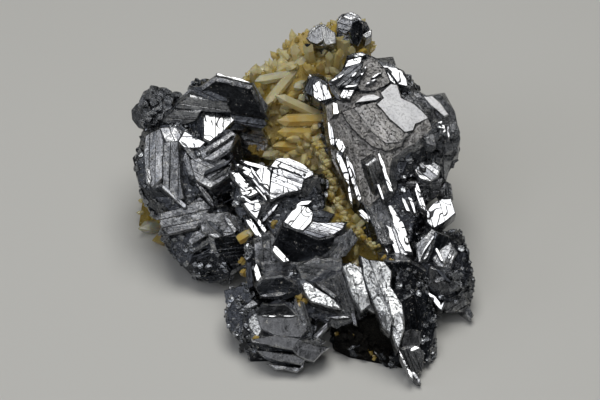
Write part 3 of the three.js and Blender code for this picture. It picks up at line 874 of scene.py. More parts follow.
RIGHT_TWINS = (
    Block((382, 140, 20.5), (19, 19, 17), (-14, 2), 22),
    Block((370, 86, 19.4), (12, 7.6, 13), (-5, 8), 18, 0.76, Finish.SPARKLING, False),
    Block((392, 208, 21.5), (10, 15, 14), (-6, 0), 24),
    Block((428, 130, 18.5), (8, 13, 14), (14, 0), 12, 0.8, Finish.SPARKLING, False),
    *alike(Cluster, ((404, 86, 25), 1.6, 7), ((440, 120, 26), 1.8, 7), finish=Finish.SPARKLING),
    *alike(
        Cluster, ((438, 128, 31.2), 1.6, 10), ((441, 142, 29.6), 1.6, 10), ((430, 140, 31.2), 1.5, 10),
        finish=Finish.SPARKLING, spread=0.9,
    ),
    Cluster((450, 132, 24.8), 1.6, 8, Finish.SPARKLING, spread=0.7),
    Cluster((450, 148, 24.8), 1.6, 8, Finish.SPARKLING, spread=0.7),
    Cluster((444, 150, 25), 2, 9, Finish.SPARKLING),
    Plate(((438, 122), (444, 120), (446, 131), (440, 134)), 32.4, MIRRORS_LIGHT, thick=4),
    Plate(((441, 138), (449, 136), (450, 149), (443, 152)), 30.2, (24, -6), thick=5),
    Plate(((424, 133), (434, 134), (436, 146), (427, 144)), 32.6, (10, 12), thick=4),
    Lath((447, 122), (449, 138), 2, 30.8, MIRRORS_LIGHT, thick=4),
    *alike(
        Cluster, ((432, 158, 28), 1.7, 9), ((404, 168, 28.6), 1.7, 9), ((420, 196, 27.4), 1.8, 9),
        ((412, 216, 28), 1.5, 7), finish=Finish.SPARKLING,
    ),
    *alike(
        Lath, ((361, 75), (366, 66), 2.6, 30.2), ((352, 77), (359, 69), 2, 29.6),
        ((331, 81), (345, 74), 1.8, 29), ((344, 87), (358, 85), 2, 29.6), ((372, 78), (381, 72), 2.2, 30),
        turn=MIRRORS_LIGHT, thick=1,
    ),
    # The broad brushed face, its growth ledges and the pale patch that tops them.
    Plate(
        ((326, 106), (344, 97), (380, 92), (426, 114), (432, 128), (414, 144), (392, 158), (386, 192),
         (368, 206), (352, 198), (332, 160)),
        30.4, (-14, 1), thick=5, flare=1.2, slope=1.4, finish=Finish.WORN,
    ),
    *alike(
        Plate,
        (((342, 112), (360, 106), (382, 108), (404, 136), (402, 146), (386, 151), (372, 146), (352, 128)),
          31.2, (-12, 2)),
        (((354, 108), (376, 102), (392, 112), (408, 134), (400, 142), (386, 143), (370, 130)), 31.9,
          (-12.5, 1.5)),
        thick=1.5, finish=Finish.WORN,
    ),
    Plate(
        ((377, 104), (384, 98), (381, 93), (391, 84), (397, 85), (401, 98), (414, 104), (428, 118),
         (415, 124), (413, 130), (405, 132), (390, 119)),
        32.3, (-2, 9), thick=1.6, finish=Finish.FROSTED,
    ),
    # The steep side that stands along the quartz seam.
    Plate(
        ((323, 116), (332, 108), (346, 158), (362, 202), (382, 244), (374, 248), (354, 226), (337, 190),
         (325, 150)),
        27.5, (-48, -4), thick=6, slope=1,
    ),
    # Bright striations down the left shoulder and the middle groove.
    *alike(
        Lath, ((337, 138), (344, 152), 7, 31.2), ((336, 150), (350, 184), 6, 31.4),
        ((345, 154), (361, 203), 4.5, 31.6), turn=MIRRORS_LIGHT,
    ),
    Lath((329, 120), (333, 146), 4, 29.9, (-4, 22)),
    Lath((347, 178), (352, 205), 2.4, 30.4, MIRRORS_LIGHT),
    Lath((334, 102), (337, 114), 7, 29.8, MIRRORS_LIGHT, thick=1.6),
    Lath((378, 149), (392, 192), 4, 32.2, MIRRORS_LIGHT),
    Lath((373, 172), (384, 200), 2.6, 31.6, MIRRORS_LIGHT),
    Plate(((368, 166), (377, 160), (391, 192), (388, 205), (378, 200)), 31.2, (32, -24), thick=2),
    # The crest.
    Plate(
        ((328, 82), (345, 68), (362, 62), (359, 84), (340, 86), (331, 90)),
        28, (-20, 6), thick=4, finish=Finish.BRUSHED,
    ),
    Lath((344, 65), (362, 59), 6, 28.4, MIRRORS_LIGHT),
    Lath((353, 56), (366, 53), 4, 25.8, (2, 14), thick=2, finish=Finish.MOTTLED),
    Plate(((386, 67), (396, 68), (406, 78), (407, 86), (399, 84)), 29.2, MIRRORS_LIGHT, thick=2),
    Lath((366, 84), (376, 79), 1.8, 30.4, MIRRORS_LIGHT, thick=1),
    Plate(
        ((361, 62), (372, 57), (384, 68), (390, 82), (374, 91), (360, 90), (356, 84)),
        29, (-8, 6), thick=4, finish=Finish.WORN,
    ),
    Plate(((379, 66), (386, 66), (402, 71), (408, 86), (401, 87), (387, 78), (379, 73)), 28.2, (6, 22)),
    Plate(
        ((350, 54), (362, 51), (382, 60), (404, 70), (414, 86), (408, 90), (380, 70)),
        24.5, (18, 40), thick=6,
    ),
    Lath((340, 94), (354, 94), 9, 30.4, MIRRORS_LIGHT),
    Lath((355, 100), (380, 96), 6, 31.4, (0, 11), finish=Finish.FROSTED, relief=BARE),
    Lath((329, 86), (340, 100), 4, 29.6, (-30, -10)),
    # The right shoulder.
    Plate(
        ((402, 97), (420, 92), (430, 98), (446, 115), (440, 120), (431, 121), (412, 104)),
        29.6, (12, 2), thick=4,
    ),
    Plate(
        ((424, 97), (432, 96), (440, 103), (448, 114), (444, 116), (431, 105)),
        30, (4, 11), finish=Finish.FROSTED,
    ),
    Plate(
        ((432, 123), (449, 118), (451, 130), (449, 158), (440, 150), (434, 136)),
        25.6, (42, -14), thick=7,
    ),
    Plate(
        ((390, 153), (412, 143), (432, 150), (436, 160), (418, 166), (402, 180), (393, 184)),
        29.4, (10, -22), thick=4,
    ),
    Plate(
        ((415, 170), (421, 162), (431, 160), (440, 167), (438, 176), (430, 181), (420, 178)),
        29.2, (3, 15),
    ),
    Plate(((440, 150), (451, 136), (452, 162), (446, 181), (440, 172)), 25, (48, -8), thick=5),
    # The steps and blades below the shoulder.
    Plate(
        ((396, 184), (428, 183), (442, 181), (438, 196), (424, 208), (402, 202)),
        27.2, (6, -34), thick=5,
    ),
    *alike(
        Lath, ((415, 183), (425, 212), 5, 30), ((409, 196), (416, 213), 3.4, 29.6),
        ((402, 197), (409, 212), 3.4, 29.2), turn=MIRRORS_LIGHT,
    ),
    Plate(
        ((427, 211), (434, 203), (444, 198), (451, 199), (455, 213), (444, 222), (433, 228), (427, 222)),
        27.6, MIRRORS_LIGHT, thick=3.5,
    ),
    Plate(((440, 190), (446, 181), (451, 184), (453, 198), (444, 197)), 26.8, (12, 12)),
    Plate(
        ((381, 208), (391, 205), (404, 224), (412, 252), (405, 251), (393, 224)),
        30.8, MIRRORS_LIGHT, thick=2.5,
    ),
    Plate(((385, 223), (396, 219), (408, 254), (398, 259), (391, 242)), 31.2, MIRRORS_LIGHT, thick=2.5),
    Plate(
        ((356, 204), (380, 198), (394, 224), (398, 262), (382, 260), (368, 234)),
        29.6, (-18, -8), thick=5,
    ),
    Lath((358, 210), (370, 220), 6, 31, MIRRORS_LIGHT),
    Lath((368, 222), (378, 239), 5, 31, (8, 18)),
    Lath((378, 226), (388, 254), 2.4, 31, MIRRORS_LIGHT),
    BackGrowth((384, 138, 19), 9.5, 5, 11, 10),
)


LEFT_TWINS = (
    Block((186, 170, 18), (15, 17, 16), (-14, 3), 8),
    Block((206, 236, 18), (13, 12, 14), (-6, 0), 38),
    Block((222, 108, 18.5), (13, 8, 12), (-6, -12), -14),
    Block((160, 106, 15.6), (5.2, 5.4, 8), (-20, 10), 20, 0.8, Finish.SPARKLING, False),
    Block((152, 114, 15.6), (4.4, 5, 7), (-35, -10), 40, 0.8, Finish.SPARKLING, False),
    # The lumpy crystal at the upper left.
    Cluster((160, 106, 20.4), 1.6, 36, Finish.SPARKLING, spread=1.7),
    Cluster((152, 114, 19.4), 1.5, 30, Finish.SPARKLING, spread=1.5),
    Cluster((168, 102, 20.2), 1.4, 22, Finish.SPARKLING, spread=1.3),
    Cluster((158, 96, 18.6), 1.5, 16, Finish.SPARKLING, spread=1),
    Block((214, 262, 22), (8, 6, 7), (-10, -15), -20),
    # The black six-sided plate with its bright upper edge, and the plates behind it.
    Plate(
        ((200, 92), (216, 81), (250, 89), (263, 117), (240, 114), (224, 108)),
        27.6, (-6, -22), thick=1.4, flare=0.6, finish=Finish.TARNISHED, relief=CALM,
    ),
    Plate(((217, 73), (220, 73), (252, 83), (250, 88), (216, 80)), 27.2, MIRRORS_LIGHT, thick=1),
    Plate(
        ((249, 84), (254, 83), (268, 106), (265, 116), (260, 112)),
        26.6, (20, 8), thick=2, finish=Finish.MOTTLED,
    ),
    Plate(((191, 87), (202, 87), (226, 98), (228, 101), (214, 101), (199, 95)), 28, (-10, 9), thick=2),
    Plate(((178, 105), (190, 97), (226, 102), (231, 112), (202, 111), (176, 108)), 27.2, (-6, -26)),
    Plate(((163, 122), (174, 111), (200, 112), (196, 120), (178, 126)), 26, (-12, -26), thick=4),
    Plate(((176, 104), (186, 92), (194, 86), (198, 94), (188, 98)), 25.6, (-28, 12), thick=4),
    Plate(((231, 114), (264, 119), (267, 124), (262, 129), (240, 124), (232, 120)), 25.8, (4, 4)),
    Plate(
        ((236, 124), (262, 129), (269, 144), (263, 152), (250, 149), (239, 134)),
        21, (18, 2), thick=6, flare=1, slope=1.2,
    ),
    # Bright facets in the middle of the upper half.
    Plate(((204, 113), (214, 113), (236, 118), (222, 132), (210, 141), (204, 138)), 26.6, MIRRORS_LIGHT),
    Plate(((190, 112), (202, 113), (203, 140), (192, 140), (184, 130)), 25.4, (-28, -6), thick=4),
    Plate(
        ((178, 129), (184, 131), (196, 138), (205, 142), (200, 147), (184, 147), (178, 140)),
        26.9, MIRRORS_LIGHT,
    ),
    # The tall plates on the left.
    *alike(
        Plate,
        (((146, 136), (160, 129), (163, 141), (162, 178), (152, 187), (146, 182), (144, 150)), 26.4,
          (-16, 6)),
        (((164, 143), (178, 140), (180, 176), (184, 198), (178, 201), (163, 184)), 27.6, (-12, 4)),
        thick=4, finish=Finish.BRUSHED,
    ),
    Plate(((160, 128), (174, 127), (183, 131), (178, 141), (166, 142)), 27, (-6, 12), thick=4),
    Lath((162, 185), (186, 207), 4, 27.9, (0, 15), thick=2),
    Plate(((148, 189), (161, 187), (182, 207), (170, 212), (155, 206)), 25, (-12, -38), thick=4),
    Plate(
        ((132, 158), (145, 142), (148, 186), (161, 212), (152, 208), (139, 186)),
        20.5, (-44, -4), thick=6,
    ),
    Lath((147, 166), (150, 184), 4, 26.8, (-6, 18)),
    # The folded crystals in the middle.
    Plate(
        ((200, 151), (231, 131), (236, 134), (230, 150), (212, 160), (203, 159)),
        29.4, (-9, 12), thick=4, finish=Finish.BRUSHED,
    ),
    Plate(((232, 131), (238, 135), (245, 152), (240, 166), (233, 158), (231, 145)), 27.5, (44, 0), thick=4),
    Plate(
        ((190, 160), (212, 154), (232, 164), (228, 176), (210, 188), (196, 180)),
        28.8, (-7, 11), thick=4, finish=Finish.BRUSHED,
    ),
    Lath((205, 152), (232, 134), 4, 30.4, (-12, 16)),
    Lath((211, 162), (234, 148), 3.4, 29.8, (-4, -12)),
    Lath((203, 174), (232, 160), 4, 29.8, (-6, 12)),
    Lath((206, 184), (230, 168), 4, 29.8, (-10, -18)),
    Lath((180, 142), (196, 160), 5, 27.4, (-20, -12)),
    Lath((184, 152), (192, 176), 6, 27.2, (-22, 2)),
    Lath((186, 178), (206, 196), 5, 27, (-4, -14)),
    Lath((195, 181), (215, 206), 4.4, 28.6, (2, 14), thick=2.2),
    Plate(((208, 192), (236, 178), (241, 205), (224, 214), (214, 206)), 23.6, (10, -28), thick=4),
    Lath((216, 206), (238, 214), 5, 26, (10, -20)),
    # The lower half.
    Plate(
        ((161, 213), (184, 207), (200, 197), (211, 207), (196, 228), (168, 234), (160, 224)),
        27, (-10, 7), thick=4,
    ),
    Plate(((200, 214), (228, 212), (241, 219), (240, 232), (215, 238), (202, 232)), 27.6, (4, 2), thick=4),
    Lath((206, 220), (224, 234), 5, 28.6, (12, 12)),
    Lath((224, 216), (236, 232), 4, 28.6, (-12, 14)),
    Plate(
        ((162, 234), (190, 233), (188, 243), (194, 255), (175, 248), (164, 241)),
        23, (-14, -34), thick=5,
    ),
    Lath((188, 241), (210, 228), 9, 26.4, (-14, 3), thick=3),
    Lath((192, 252), (212, 238), 5, 26.2, (-8, -16), thick=3),
    Lath((196, 260), (218, 246), 7, 25.8, (-12, 4), thick=3),
    Plate(
        ((214, 239), (240, 236), (246, 250), (243, 264), (232, 271), (218, 262)),
        26, (8, -14), thick=5, flare=0.9,
    ),
    BackGrowth((190, 168, 17), 8.5, 4, 21, 9),
)


CENTRE_TWINS = (
    Block((288, 208, 28), (13, 14, 12), (3, 8), -10),
    Block((256, 202, 29), (7, 13, 9), (-6, 0), 12),
    Block((286, 254, 31), (15, 9, 10), (0, -12), -6),
    # The broad white face with its arched rim.
    Plate(
        ((270, 170), (280, 169), (304, 178), (301, 190), (284, 194), (271, 200), (268, 190)),
        35.4, MIRRORS_LIGHT, thick=4,
    ),
    Plate(((262, 167), (272, 168), (269, 190), (264, 186), (256, 172)), 35.8, (-3, 20)),
    Plate(
        ((271, 166), (277, 158), (290, 158), (303, 164), (311, 171), (305, 177), (288, 170)),
        34, (8, 27),
    ),
    Lath((302, 178), (313, 172), 5, 34.6, (10, 24)),
    Plate(
        ((304, 178), (318, 177), (323, 194), (311, 201), (299, 197), (302, 188)),
        33.6, (24, -10), thick=4,
    ),
    Plate(((286, 194), (302, 191), (318, 198), (300, 204), (288, 202)), 33, (6, -34), thick=4),
    # Bright curved blades to its left.
    Lath((240, 161), (272, 170), 3.6, 34, (0, 16), thick=2),
    Lath((233, 171), (248, 187), 6, 34.6, MIRRORS_LIGHT, thick=2),
    Lath((243, 171), (266, 182), 5.4, 35.2, MIRRORS_LIGHT, thick=2),
    Lath((236, 164), (256, 173), 3, 34.8, MIRRORS_LIGHT, thick=1.6),
    Lath((234, 178), (246, 190), 3, 34.9, MIRRORS_LIGHT, thick=1.6),
    *alike(
        Lath, ((250, 167), (262, 184), 2.6, 35.9), ((256, 186), (268, 200), 3, 35.6),
        ((241, 196), (254, 204), 3, 35.2), ((252, 224), (262, 238), 2.4, 36.2), turn=MIRRORS_LIGHT,
        thick=1.4,
    ),
    Lath((250, 172), (269, 196), 5, 35.5, MIRRORS_LIGHT, thick=2),
    Plate(((240, 188), (250, 186), (258, 192), (250, 196), (242, 194)), 35, MIRRORS_LIGHT),
    Plate(((236, 182), (256, 178), (264, 198), (250, 204), (240, 198)), 33.2, (-10, -24), thick=4),
    Plate(((244, 203), (258, 199), (261, 206), (257, 219), (250, 212)), 35.6, MIRRORS_LIGHT),
    Lath((247, 218), (260, 236), 6, 35.8, MIRRORS_LIGHT, thick=2),
    Lath((256, 218), (266, 232), 4, 35.4, (6, 20), thick=2),
    Plate(((260, 204), (278, 200), (280, 214), (266, 232), (258, 222)), 34.4, (8, -14), thick=4),
    Lath((262, 222), (278, 204), 3, 35.8, (-6, 16)),
    # The rounded white facets on the right and the large dark face below them.
    Plate(
        ((284, 222), (290, 214), (297, 205), (308, 207), (313, 213), (311, 222), (303, 230), (294, 228)),
        37.2, MIRRORS_LIGHT,
    ),
    Plate(
        ((299, 232), (311, 222), (328, 223), (346, 222), (342, 229), (332, 235), (318, 238)),
        37, (5, 20), finish=Finish.CLEAVAGE, relief=BENT,
    ),
    Plate(((312, 212), (322, 210), (334, 214), (328, 222), (313, 221)), 36.2, (4, 14)),
    Lath((296, 204), (312, 202), 4, 35.6, MIRRORS_LIGHT),
    Plate(
        ((283, 226), (302, 233), (318, 240), (334, 237), (330, 250), (311, 262), (290, 262), (272, 246)),
        37.4, (-2, -14), thick=5, finish=Finish.TARNISHED, relief=CALM,
    ),
    Plate(
        ((334, 238), (352, 230), (358, 240), (346, 256), (326, 262), (316, 258)),
        35.6, (16, -6), thick=5,
    ),
    Lath((273, 247), (288, 262), 6, 39, MIRRORS_LIGHT, thick=2),
    Plate(
        ((254, 240), (268, 233), (280, 246), (284, 262), (270, 276), (255, 262)),
        36.6, (-8, -8), thick=5,
    ),
    Plate(
        ((246, 252), (256, 238), (260, 242), (252, 258), (253, 286), (247, 290)),
        35.8, (-10, 7), thick=4,
    ),
    Lath((254, 264), (261, 284), 6, 37.2, (-2, 20)),
    Plate(
        ((262, 264), (284, 262), (300, 264), (296, 282), (276, 280), (262, 284)),
        36.4, (2, -18), thick=5,
    ),
)


LOWER_TWINS = (
    Block((324, 290, 33.4), (13, 11, 10), (0, 0), -12),
    Block((406, 316, 33.4), (8, 18, 12), (12, 0), 12),
    Block((374, 342, 31.5), (14, 10, 9), (-14, -24), 12),
    Block((402, 356, 33), (8, 8, 8), (10, 50), 10, cut=1),
    Block((374, 342, 28), (12, 10, 8), (-20, 50), 25, cut=1),
    # Dark plates round the middle.
    Plate(
        ((256, 288), (265, 279), (282, 277), (296, 285), (300, 294), (286, 300), (262, 298)),
        40, (0, -16), thick=4,
    ),
    Lath((260, 296), (288, 293), 4, 41, (0, 6)),
    Plate(
        ((298, 268), (318, 258), (342, 262), (342, 280), (320, 284), (302, 280)),
        38.6, (6, -10), thick=5,
    ),
    Plate(
        ((302, 284), (307, 282), (320, 291), (334, 300), (340, 308), (322, 304), (311, 301), (305, 292)),
        41.4, (3, 18), thick=2.5, finish=Finish.MOTTLED,
    ),
    Lath((315, 282), (336, 297), 4, 41, (6, 12), thick=2),
    Plate(
        ((318, 284), (342, 274), (352, 300), (356, 314), (340, 312), (326, 298)),
        39.4, (-12, -14), thick=5,
    ),
    Plate(
        ((316, 306), (352, 312), (366, 316), (360, 330), (338, 330), (318, 320)),
        38.2, (-4, -22), thick=6,
    ),
    Lath((330, 318), (350, 316), 3, 39.6, (0, 14)),
    Lath((352, 312), (356, 326), 4, 40, (-12, 8)),
    # The dark slope and foot under the blades. The slope's near-black rind is painted shade as well as a
    # rough crust.
    Plate(
        ((334, 330), (376, 318), (392, 338), (400, 356), (408, 376), (398, 381), (380, 368), (350, 358),
         (334, 350)),
        37.4, (-18, -26), thick=8, finish=Finish.RIND,
    ),
    *alike(
        Cluster, ((348, 338, 37.2), 1.3, 14), ((362, 340, 37.4), 1.3, 14), ((378, 342, 37.6), 1.3, 14),
        finish=Finish.RIND, spread=1.4,
    ),
    Cluster((364, 348, 36.8), 1.2, 12, Finish.RIND, spread=1.3),
    Cluster((390, 356, 37.6), 1.2, 12, Finish.RIND, spread=1.2),
    *alike(
        Cluster, ((352, 342, 37), 0.8, 3), ((376, 346, 37.2), 0.8, 3), finish=Finish.SPARKLING, spread=1.6,
    ),
    *alike(
        Plate,
        (((340, 334), (356, 330), (368, 336), (362, 344), (346, 344)), 37.8, (-24, -12)),
        (((366, 334), (384, 332), (392, 344), (384, 352), (370, 346)), 38.4, (-6, -18)),
        thick=4, finish=Finish.RIND,
    ),
    # Down-turned faces on the slope, tarnished black as painted shade.
    *alike(
        Plate,
        (((348, 346), (364, 346), (372, 354), (362, 360), (350, 356)), 36.6, (-12, -34)),
        (((376, 354), (392, 352), (402, 366), (398, 376), (384, 366)), 37.8, (6, -24)),
        thick=4, finish=Finish.TARNISHED,
    ),
    Plate(
        ((400, 302), (414, 294), (420, 310), (423, 334), (418, 346), (404, 348), (403, 325)),
        40.4, (14, 0), thick=6,
    ),
    Plate(
        ((404, 332), (412, 329), (420, 332), (419, 345), (402, 348)),
        41, (5, 12), thick=4, finish=Finish.SATIN,
    ),
    *alike(
        Plate,
        (((400, 350), (418, 347), (424, 356), (422, 372), (414, 380), (408, 370)), 41.4, (10, -16)),
        (((420, 300), (427, 316), (431, 350), (430, 358), (422, 346), (420, 322)), 36.5, (48, -6)),
        thick=6,
    ),
    *alike(Lath, ((410, 350), (419, 346), 4, 42.4), ((406, 368), (414, 378), 4, 43.6), turn=MIRRORS_LIGHT),
    Lath((411, 371), (421, 383), 4, 42.6, (6, 20), thick=3),
    Lath((398, 350), (409, 371), 2.6, 43.8, (3, 18), thick=2),
    Plate(
        ((386, 262), (410, 262), (426, 272), (420, 298), (406, 304), (393, 292)),
        36.6, (12, -14), thick=6,
    ),
    Lath((391, 290), (412, 276), 1.6, 38.6, (2, 14)),
)


BLADE_PAIR = (
    *alike(
        Plate,
        (((343, 267), (350, 263), (361, 268), (370, 304), (362, 311), (354, 298)), 42.6, (4, 17)),
        (((361, 256), (368, 260), (380, 288), (392, 318), (390, 332), (383, 326), (373, 302), (364, 276)),
          43.4, (4, 17)),
        finish=Finish.MOTTLED,
    ),
    Plate(
        ((370, 260), (384, 262), (391, 271), (390, 286), (402, 305), (404, 328), (398, 350), (393, 334),
         (392, 316), (380, 288)),
        43, (5, 16), thick=3.4, finish=Finish.MOTTLED,
    ),
    Lath((384, 290), (396, 330), 2.6, 44.2, (5, 17), finish=Finish.MOTTLED),
    Plate(((352, 270), (378, 262), (392, 300), (384, 316), (366, 306)), 41, (4, 14)),
)


LOWER_LEFT_CRYSTAL = (
    Block((278, 330, 34), (13, 10, 12), (2, 8), -10),
    Block((245, 320, 35), (5.4, 7, 6), (-20, 5), 30),
    Block((243, 302, 33.5), (5, 5, 6), (-15, 10), 15, cut=1),
    Block((281, 342, 33), (12, 9, 9), (-10, 50), 10, cut=1),
    *alike(
        Plate,
        (((257, 313), (263, 305), (285, 305), (298, 317), (262, 317)), 40.9, (0, -6)),
        (((258, 316), (298, 316), (307, 330), (301, 337), (275, 335), (262, 329)), 41.2, (3, 10)),
        thick=4, finish=Finish.SATIN,
    ),
    # A thin lath turned to the overhead light, in the lighter cleavage colour, paints the highlight line
    # across the curved satin face.
    Lath((262, 316), (296, 316), 1.2, 41.5, MIRRORS_LIGHT, thick=1),
    Plate(
        ((248, 311), (256, 311), (263, 328), (257, 337), (249, 326)),
        40.4, (-12, 20), thick=4, finish=Finish.MOTTLED,
    ),
    # Ledges that step down to the front; their down-turned fronts are tarnished black as painted shade.
    Plate(((254, 339), (276, 336), (299, 339), (293, 349), (260, 343)), 42.2, (2, 8), finish=Finish.SATIN),
    Plate(
        ((298, 339), (328, 348), (314, 361), (300, 357), (293, 349)),
        42, (4, 6), thick=5, finish=Finish.SATIN,
    ),
    Plate(((253, 343), (293, 350), (297, 356), (264, 352)), 41.4, (2, -40), finish=Finish.TARNISHED),
    Plate(((258, 351), (296, 356), (304, 360), (301, 364), (266, 357)), 41.6, (2, 6), finish=Finish.SATIN),
    Plate(((264, 358), (302, 363), (300, 368), (272, 364)), 40.8, (2, -40), finish=Finish.TARNISHED),
    Plate(((268, 364), (300, 368), (304, 362), (303, 367), (297, 372), (276, 369)), 41, (2, 5), thick=2),
    # Rough growth on the left side and pointed blades on the right.
    Plate(((243, 307), (253, 300), (258, 304), (250, 311)), 38, (-4, 10)),
    Lath((293, 300), (308, 332), 6, 40.4, (-22, -6), thick=3),
    Lath((302, 302), (312, 336), 5, 40.6, (14, -8), thick=3),
    Lath((312, 340), (328, 324), 5, 40.4, (-12, 2), thick=3),
    Lath((304, 340), (324, 346), 5, 42.6, (0, -22)),
)


RIGHT_FOOT = (
    Block((440, 268, 26), (10, 13, 12), (6, 0), 10),
    Block((442, 286, 24), (9, 9, 9), (10, 50), 12, cut=1),
    Plate(
        ((416, 244), (432, 229), (438, 233), (427, 258), (419, 262)),
        33, (-8, 13), thick=4, finish=Finish.BRUSHED,
    ),
    Plate(((438, 233), (449, 237), (440, 262), (428, 262)), 33.6, (14, -6), thick=4),
    Plate(
        ((440, 250), (450, 242), (457, 252), (450, 268), (438, 266), (433, 258)),
        33.8, (4, 14), thick=4, finish=Finish.BRUSHED,
    ),
    Plate(
        ((448, 237), (460, 250), (467, 278), (469, 298), (456, 292), (451, 270), (458, 252)),
        29.6, (42, -4), thick=8,
    ),
    Plate(
        ((430, 268), (450, 270), (456, 290), (448, 304), (436, 298), (427, 284)),
        32.6, (-6, -18), thick=6,
    ),
    Lath((436, 268), (452, 284), 4, 34, (-10, 12)),
    Lath((420, 257), (434, 235), 2.4, 34.2, MIRRORS_LIGHT),
    Lath((436, 248), (443, 262), 2.4, 34.6, MIRRORS_LIGHT),
    *alike(
        Cluster, ((446, 278, 33), 1.5, 8), ((456, 286, 31), 1.5, 8), finish=Finish.SPARKLING, spread=1.2,
    ),
    Lath((434, 282), (448, 276), 5, 34, (2, 8)),
    Lath((427, 291), (443, 309), 5, 34, MIRRORS_LIGHT, thick=3.4),
    Lath((440, 309), (446, 301), 3.4, 33.7, MIRRORS_LIGHT, thick=2),
    Plate(((443, 302), (462, 290), (470, 304), (464, 312), (446, 313)), 30.6, (10, -16), thick=6),
    Lath((444, 298), (462, 292), 4, 32.6, (-6, -10)),
    Lath((462, 296), (472, 320), 7, 29.6, (14, 4), thick=6),
)


VALLEY_CRYSTAL = (
    Block((317, 91, 21.4), (4.4, 4.6, 5), (-5, 15), 20),
    Plate(((313, 85), (320, 80), (327, 84), (332, 98), (320, 101), (314, 97)), 24.6, MIRRORS_LIGHT),
    Plate(((302, 92), (308, 76), (314, 82), (313, 99), (306, 100)), 22.4, (-36, -6), thick=4),
)


TOP_LEFT_CRYSTAL = (
    Block((321, 38, 13.4), (4, 3.6, 4), (-18, 30), 40, 0.8),
    Plate(((307, 38), (313, 31), (321, 26), (323, 40), (317, 44), (311, 42)), 17, (-10, 12)),
    Plate(((321, 26), (328, 28), (335, 33), (336, 43), (326, 45), (323, 40)), 16.8, (12, 12)),
    Lath((315, 45), (334, 45), 2, 16.6, MIRRORS_LIGHT, thick=2),
    # The stem below, where quartz stands in front, is tarnished black as painted shade.
    Plate(((317, 46), (325, 45), (333, 47), (330, 56), (321, 54)), 15.2, (4, -16), finish=Finish.TARNISHED),
    Lath((310, 42), (316, 33), 2, 16.9, (-20, 20), thick=1.6),
)


TOP_RIGHT_CRYSTAL = (
    Block((350, 29, 12.4), (4, 5, 4.6), (-20, 15), 6, 0.8),
    Plate(((337, 23), (343, 18), (353, 21), (350, 30), (345, 34), (338, 30)), 16, (-14, 4)),
    Plate(((343, 17), (347, 13), (352, 12), (359, 16), (362, 21), (354, 21)), 14.8, (2, 14)),
    Plate(
        ((353, 22), (358, 20), (363, 25), (362, 38), (358, 46), (353, 44), (350, 32)),
        16, (10, -14), finish=Finish.TARNISHED,
    ),
    Plate(
        ((338, 31), (345, 34), (350, 31), (353, 44), (345, 42), (340, 38)),
        15.4, (-10, -8), finish=Finish.BRUSHED,
    ),
    Plate(((362, 21), (367, 23), (370, 29), (367, 33), (363, 30)), 14.4, (24, -2)),
    Plate(((362, 35), (366, 32), (371, 30), (371, 35), (366, 38)), 15, MIRRORS_LIGHT),
    Lath((354, 15), (361, 21), 1.6, 14.8, MIRRORS_LIGHT, thick=1.6),
)


QUARTZ_LUMPS = (
    Block((298, 118, 10), (17, 20, 15), (6, 0), 10),
    Block((318, 68, 8), (13, 12, 11), (-10, 12), 30),
    Block((343, 46, 8), (9, 8, 8), (15, 10), 15),
    Block((322, 184, 16), (12, 22, 15), (-8, 0), 25),
    Block((336, 250, 22), (16, 16, 14), (4, -10), 20),
)


QUARTZ_BASE = (
    Block((322, 140, 1), (20, 15, 19), (10, 50), 10),
    Block((262, 172, 2), (22.4, 14, 15), (-10, 50), -6),
    Block((202, 218, 5), (22.4, 12, 10), (-14, 50), -8),
)


# The long prisms that fan out to the left.
FAN_POINTS = (
    Point((292, 74, 17), (255, 81, 20), 1.05),
    Point((303, 60, 15), (266, 105, 22.5), 1.05),
    Point((318, 115, 20), (275, 95, 24), 1.2),
    Point((330, 119, 20), (277, 121, 24.6), 1.35),
    Point((328, 134, 20), (277, 132, 24.2), 1.15),
    Point((322, 149, 19.5), (273, 146, 23.8), 1.2),
    Point((318, 141, 20), (286, 139, 24.6), 0.9),
    Point((314, 155, 20), (288, 153, 24.2), 0.9),
)


# The prisms that stand at the top.
TOP_POINTS = (
    Point((312, 68, 12), (307, 43, 19), 1.25),
    Point((302, 72, 12), (293, 45, 17), 1.15),
    Point((308, 62, 12), (276, 72, 18), 1.25),
    Point((318, 78, 16), (302, 64, 20), 1.1),
    Point((342, 56, 12), (338, 31, 16.5), 1.1),
    Point((346, 56, 13), (346, 36, 17.5), 0.9),
    Point((336, 66, 15), (341, 49, 19), 0.9),
    Point((350, 60, 12), (352, 46, 16.5), 1),
    Point((356, 58, 12), (367, 49, 15.5), 0.9),
    Point((320, 76, 15), (321, 62, 20.5), 1.1),
    Point((330, 66, 14), (329, 52, 18.5), 1),
)


# Stubby crystals that fill the valley.
VALLEY_POINTS = (
    Point((304, 102, 17), (281, 108, 22), 0.9),
    Point((308, 82, 15), (294, 88, 21), 1),
    Point((312, 94, 16), (299, 99, 22), 0.9),
    Point((314, 86, 15), (286, 97, 20), 0.9),
    Point((316, 126, 20), (314, 129, 26), 0.9),
    Point((322, 136, 21), (313, 141, 26), 0.9),
    Point((318, 146, 21), (303, 134, 25.4), 0.85),
    Point((324, 148, 22), (316, 150, 26.6), 0.9),
    Point((308, 156, 20), (297, 147, 25), 0.8),
    Point((298, 154, 18), (279, 155, 23.4), 0.95),
    Point((292, 152, 15), (262, 156, 22), 1),
)


# The middle of the band of small quartz crystals beside the right twins, in pixels.
SEAM_LINE = (
    (317, 144), (320, 153), (325, 172), (332, 192), (339, 211), (347, 227), (362, 236), (377, 248),
)
SEAM_COUNT = 90
SEAM_START = 28  # millimetres that the band's upper end stands towards the eye
SEAM_RISE = 5  # how much further its lower end stands out
SEAM_LENGTH = 4  # how far back each crystal's foot lies
SEAM_RADII: Range = (0.42, 0.85)  # the smallest and the largest crystal's radius

# The ground that the band grows on.
SEAM = ((318, 146), (326, 150), (344, 200), (368, 236), (376, 250), (360, 248), (340, 214))


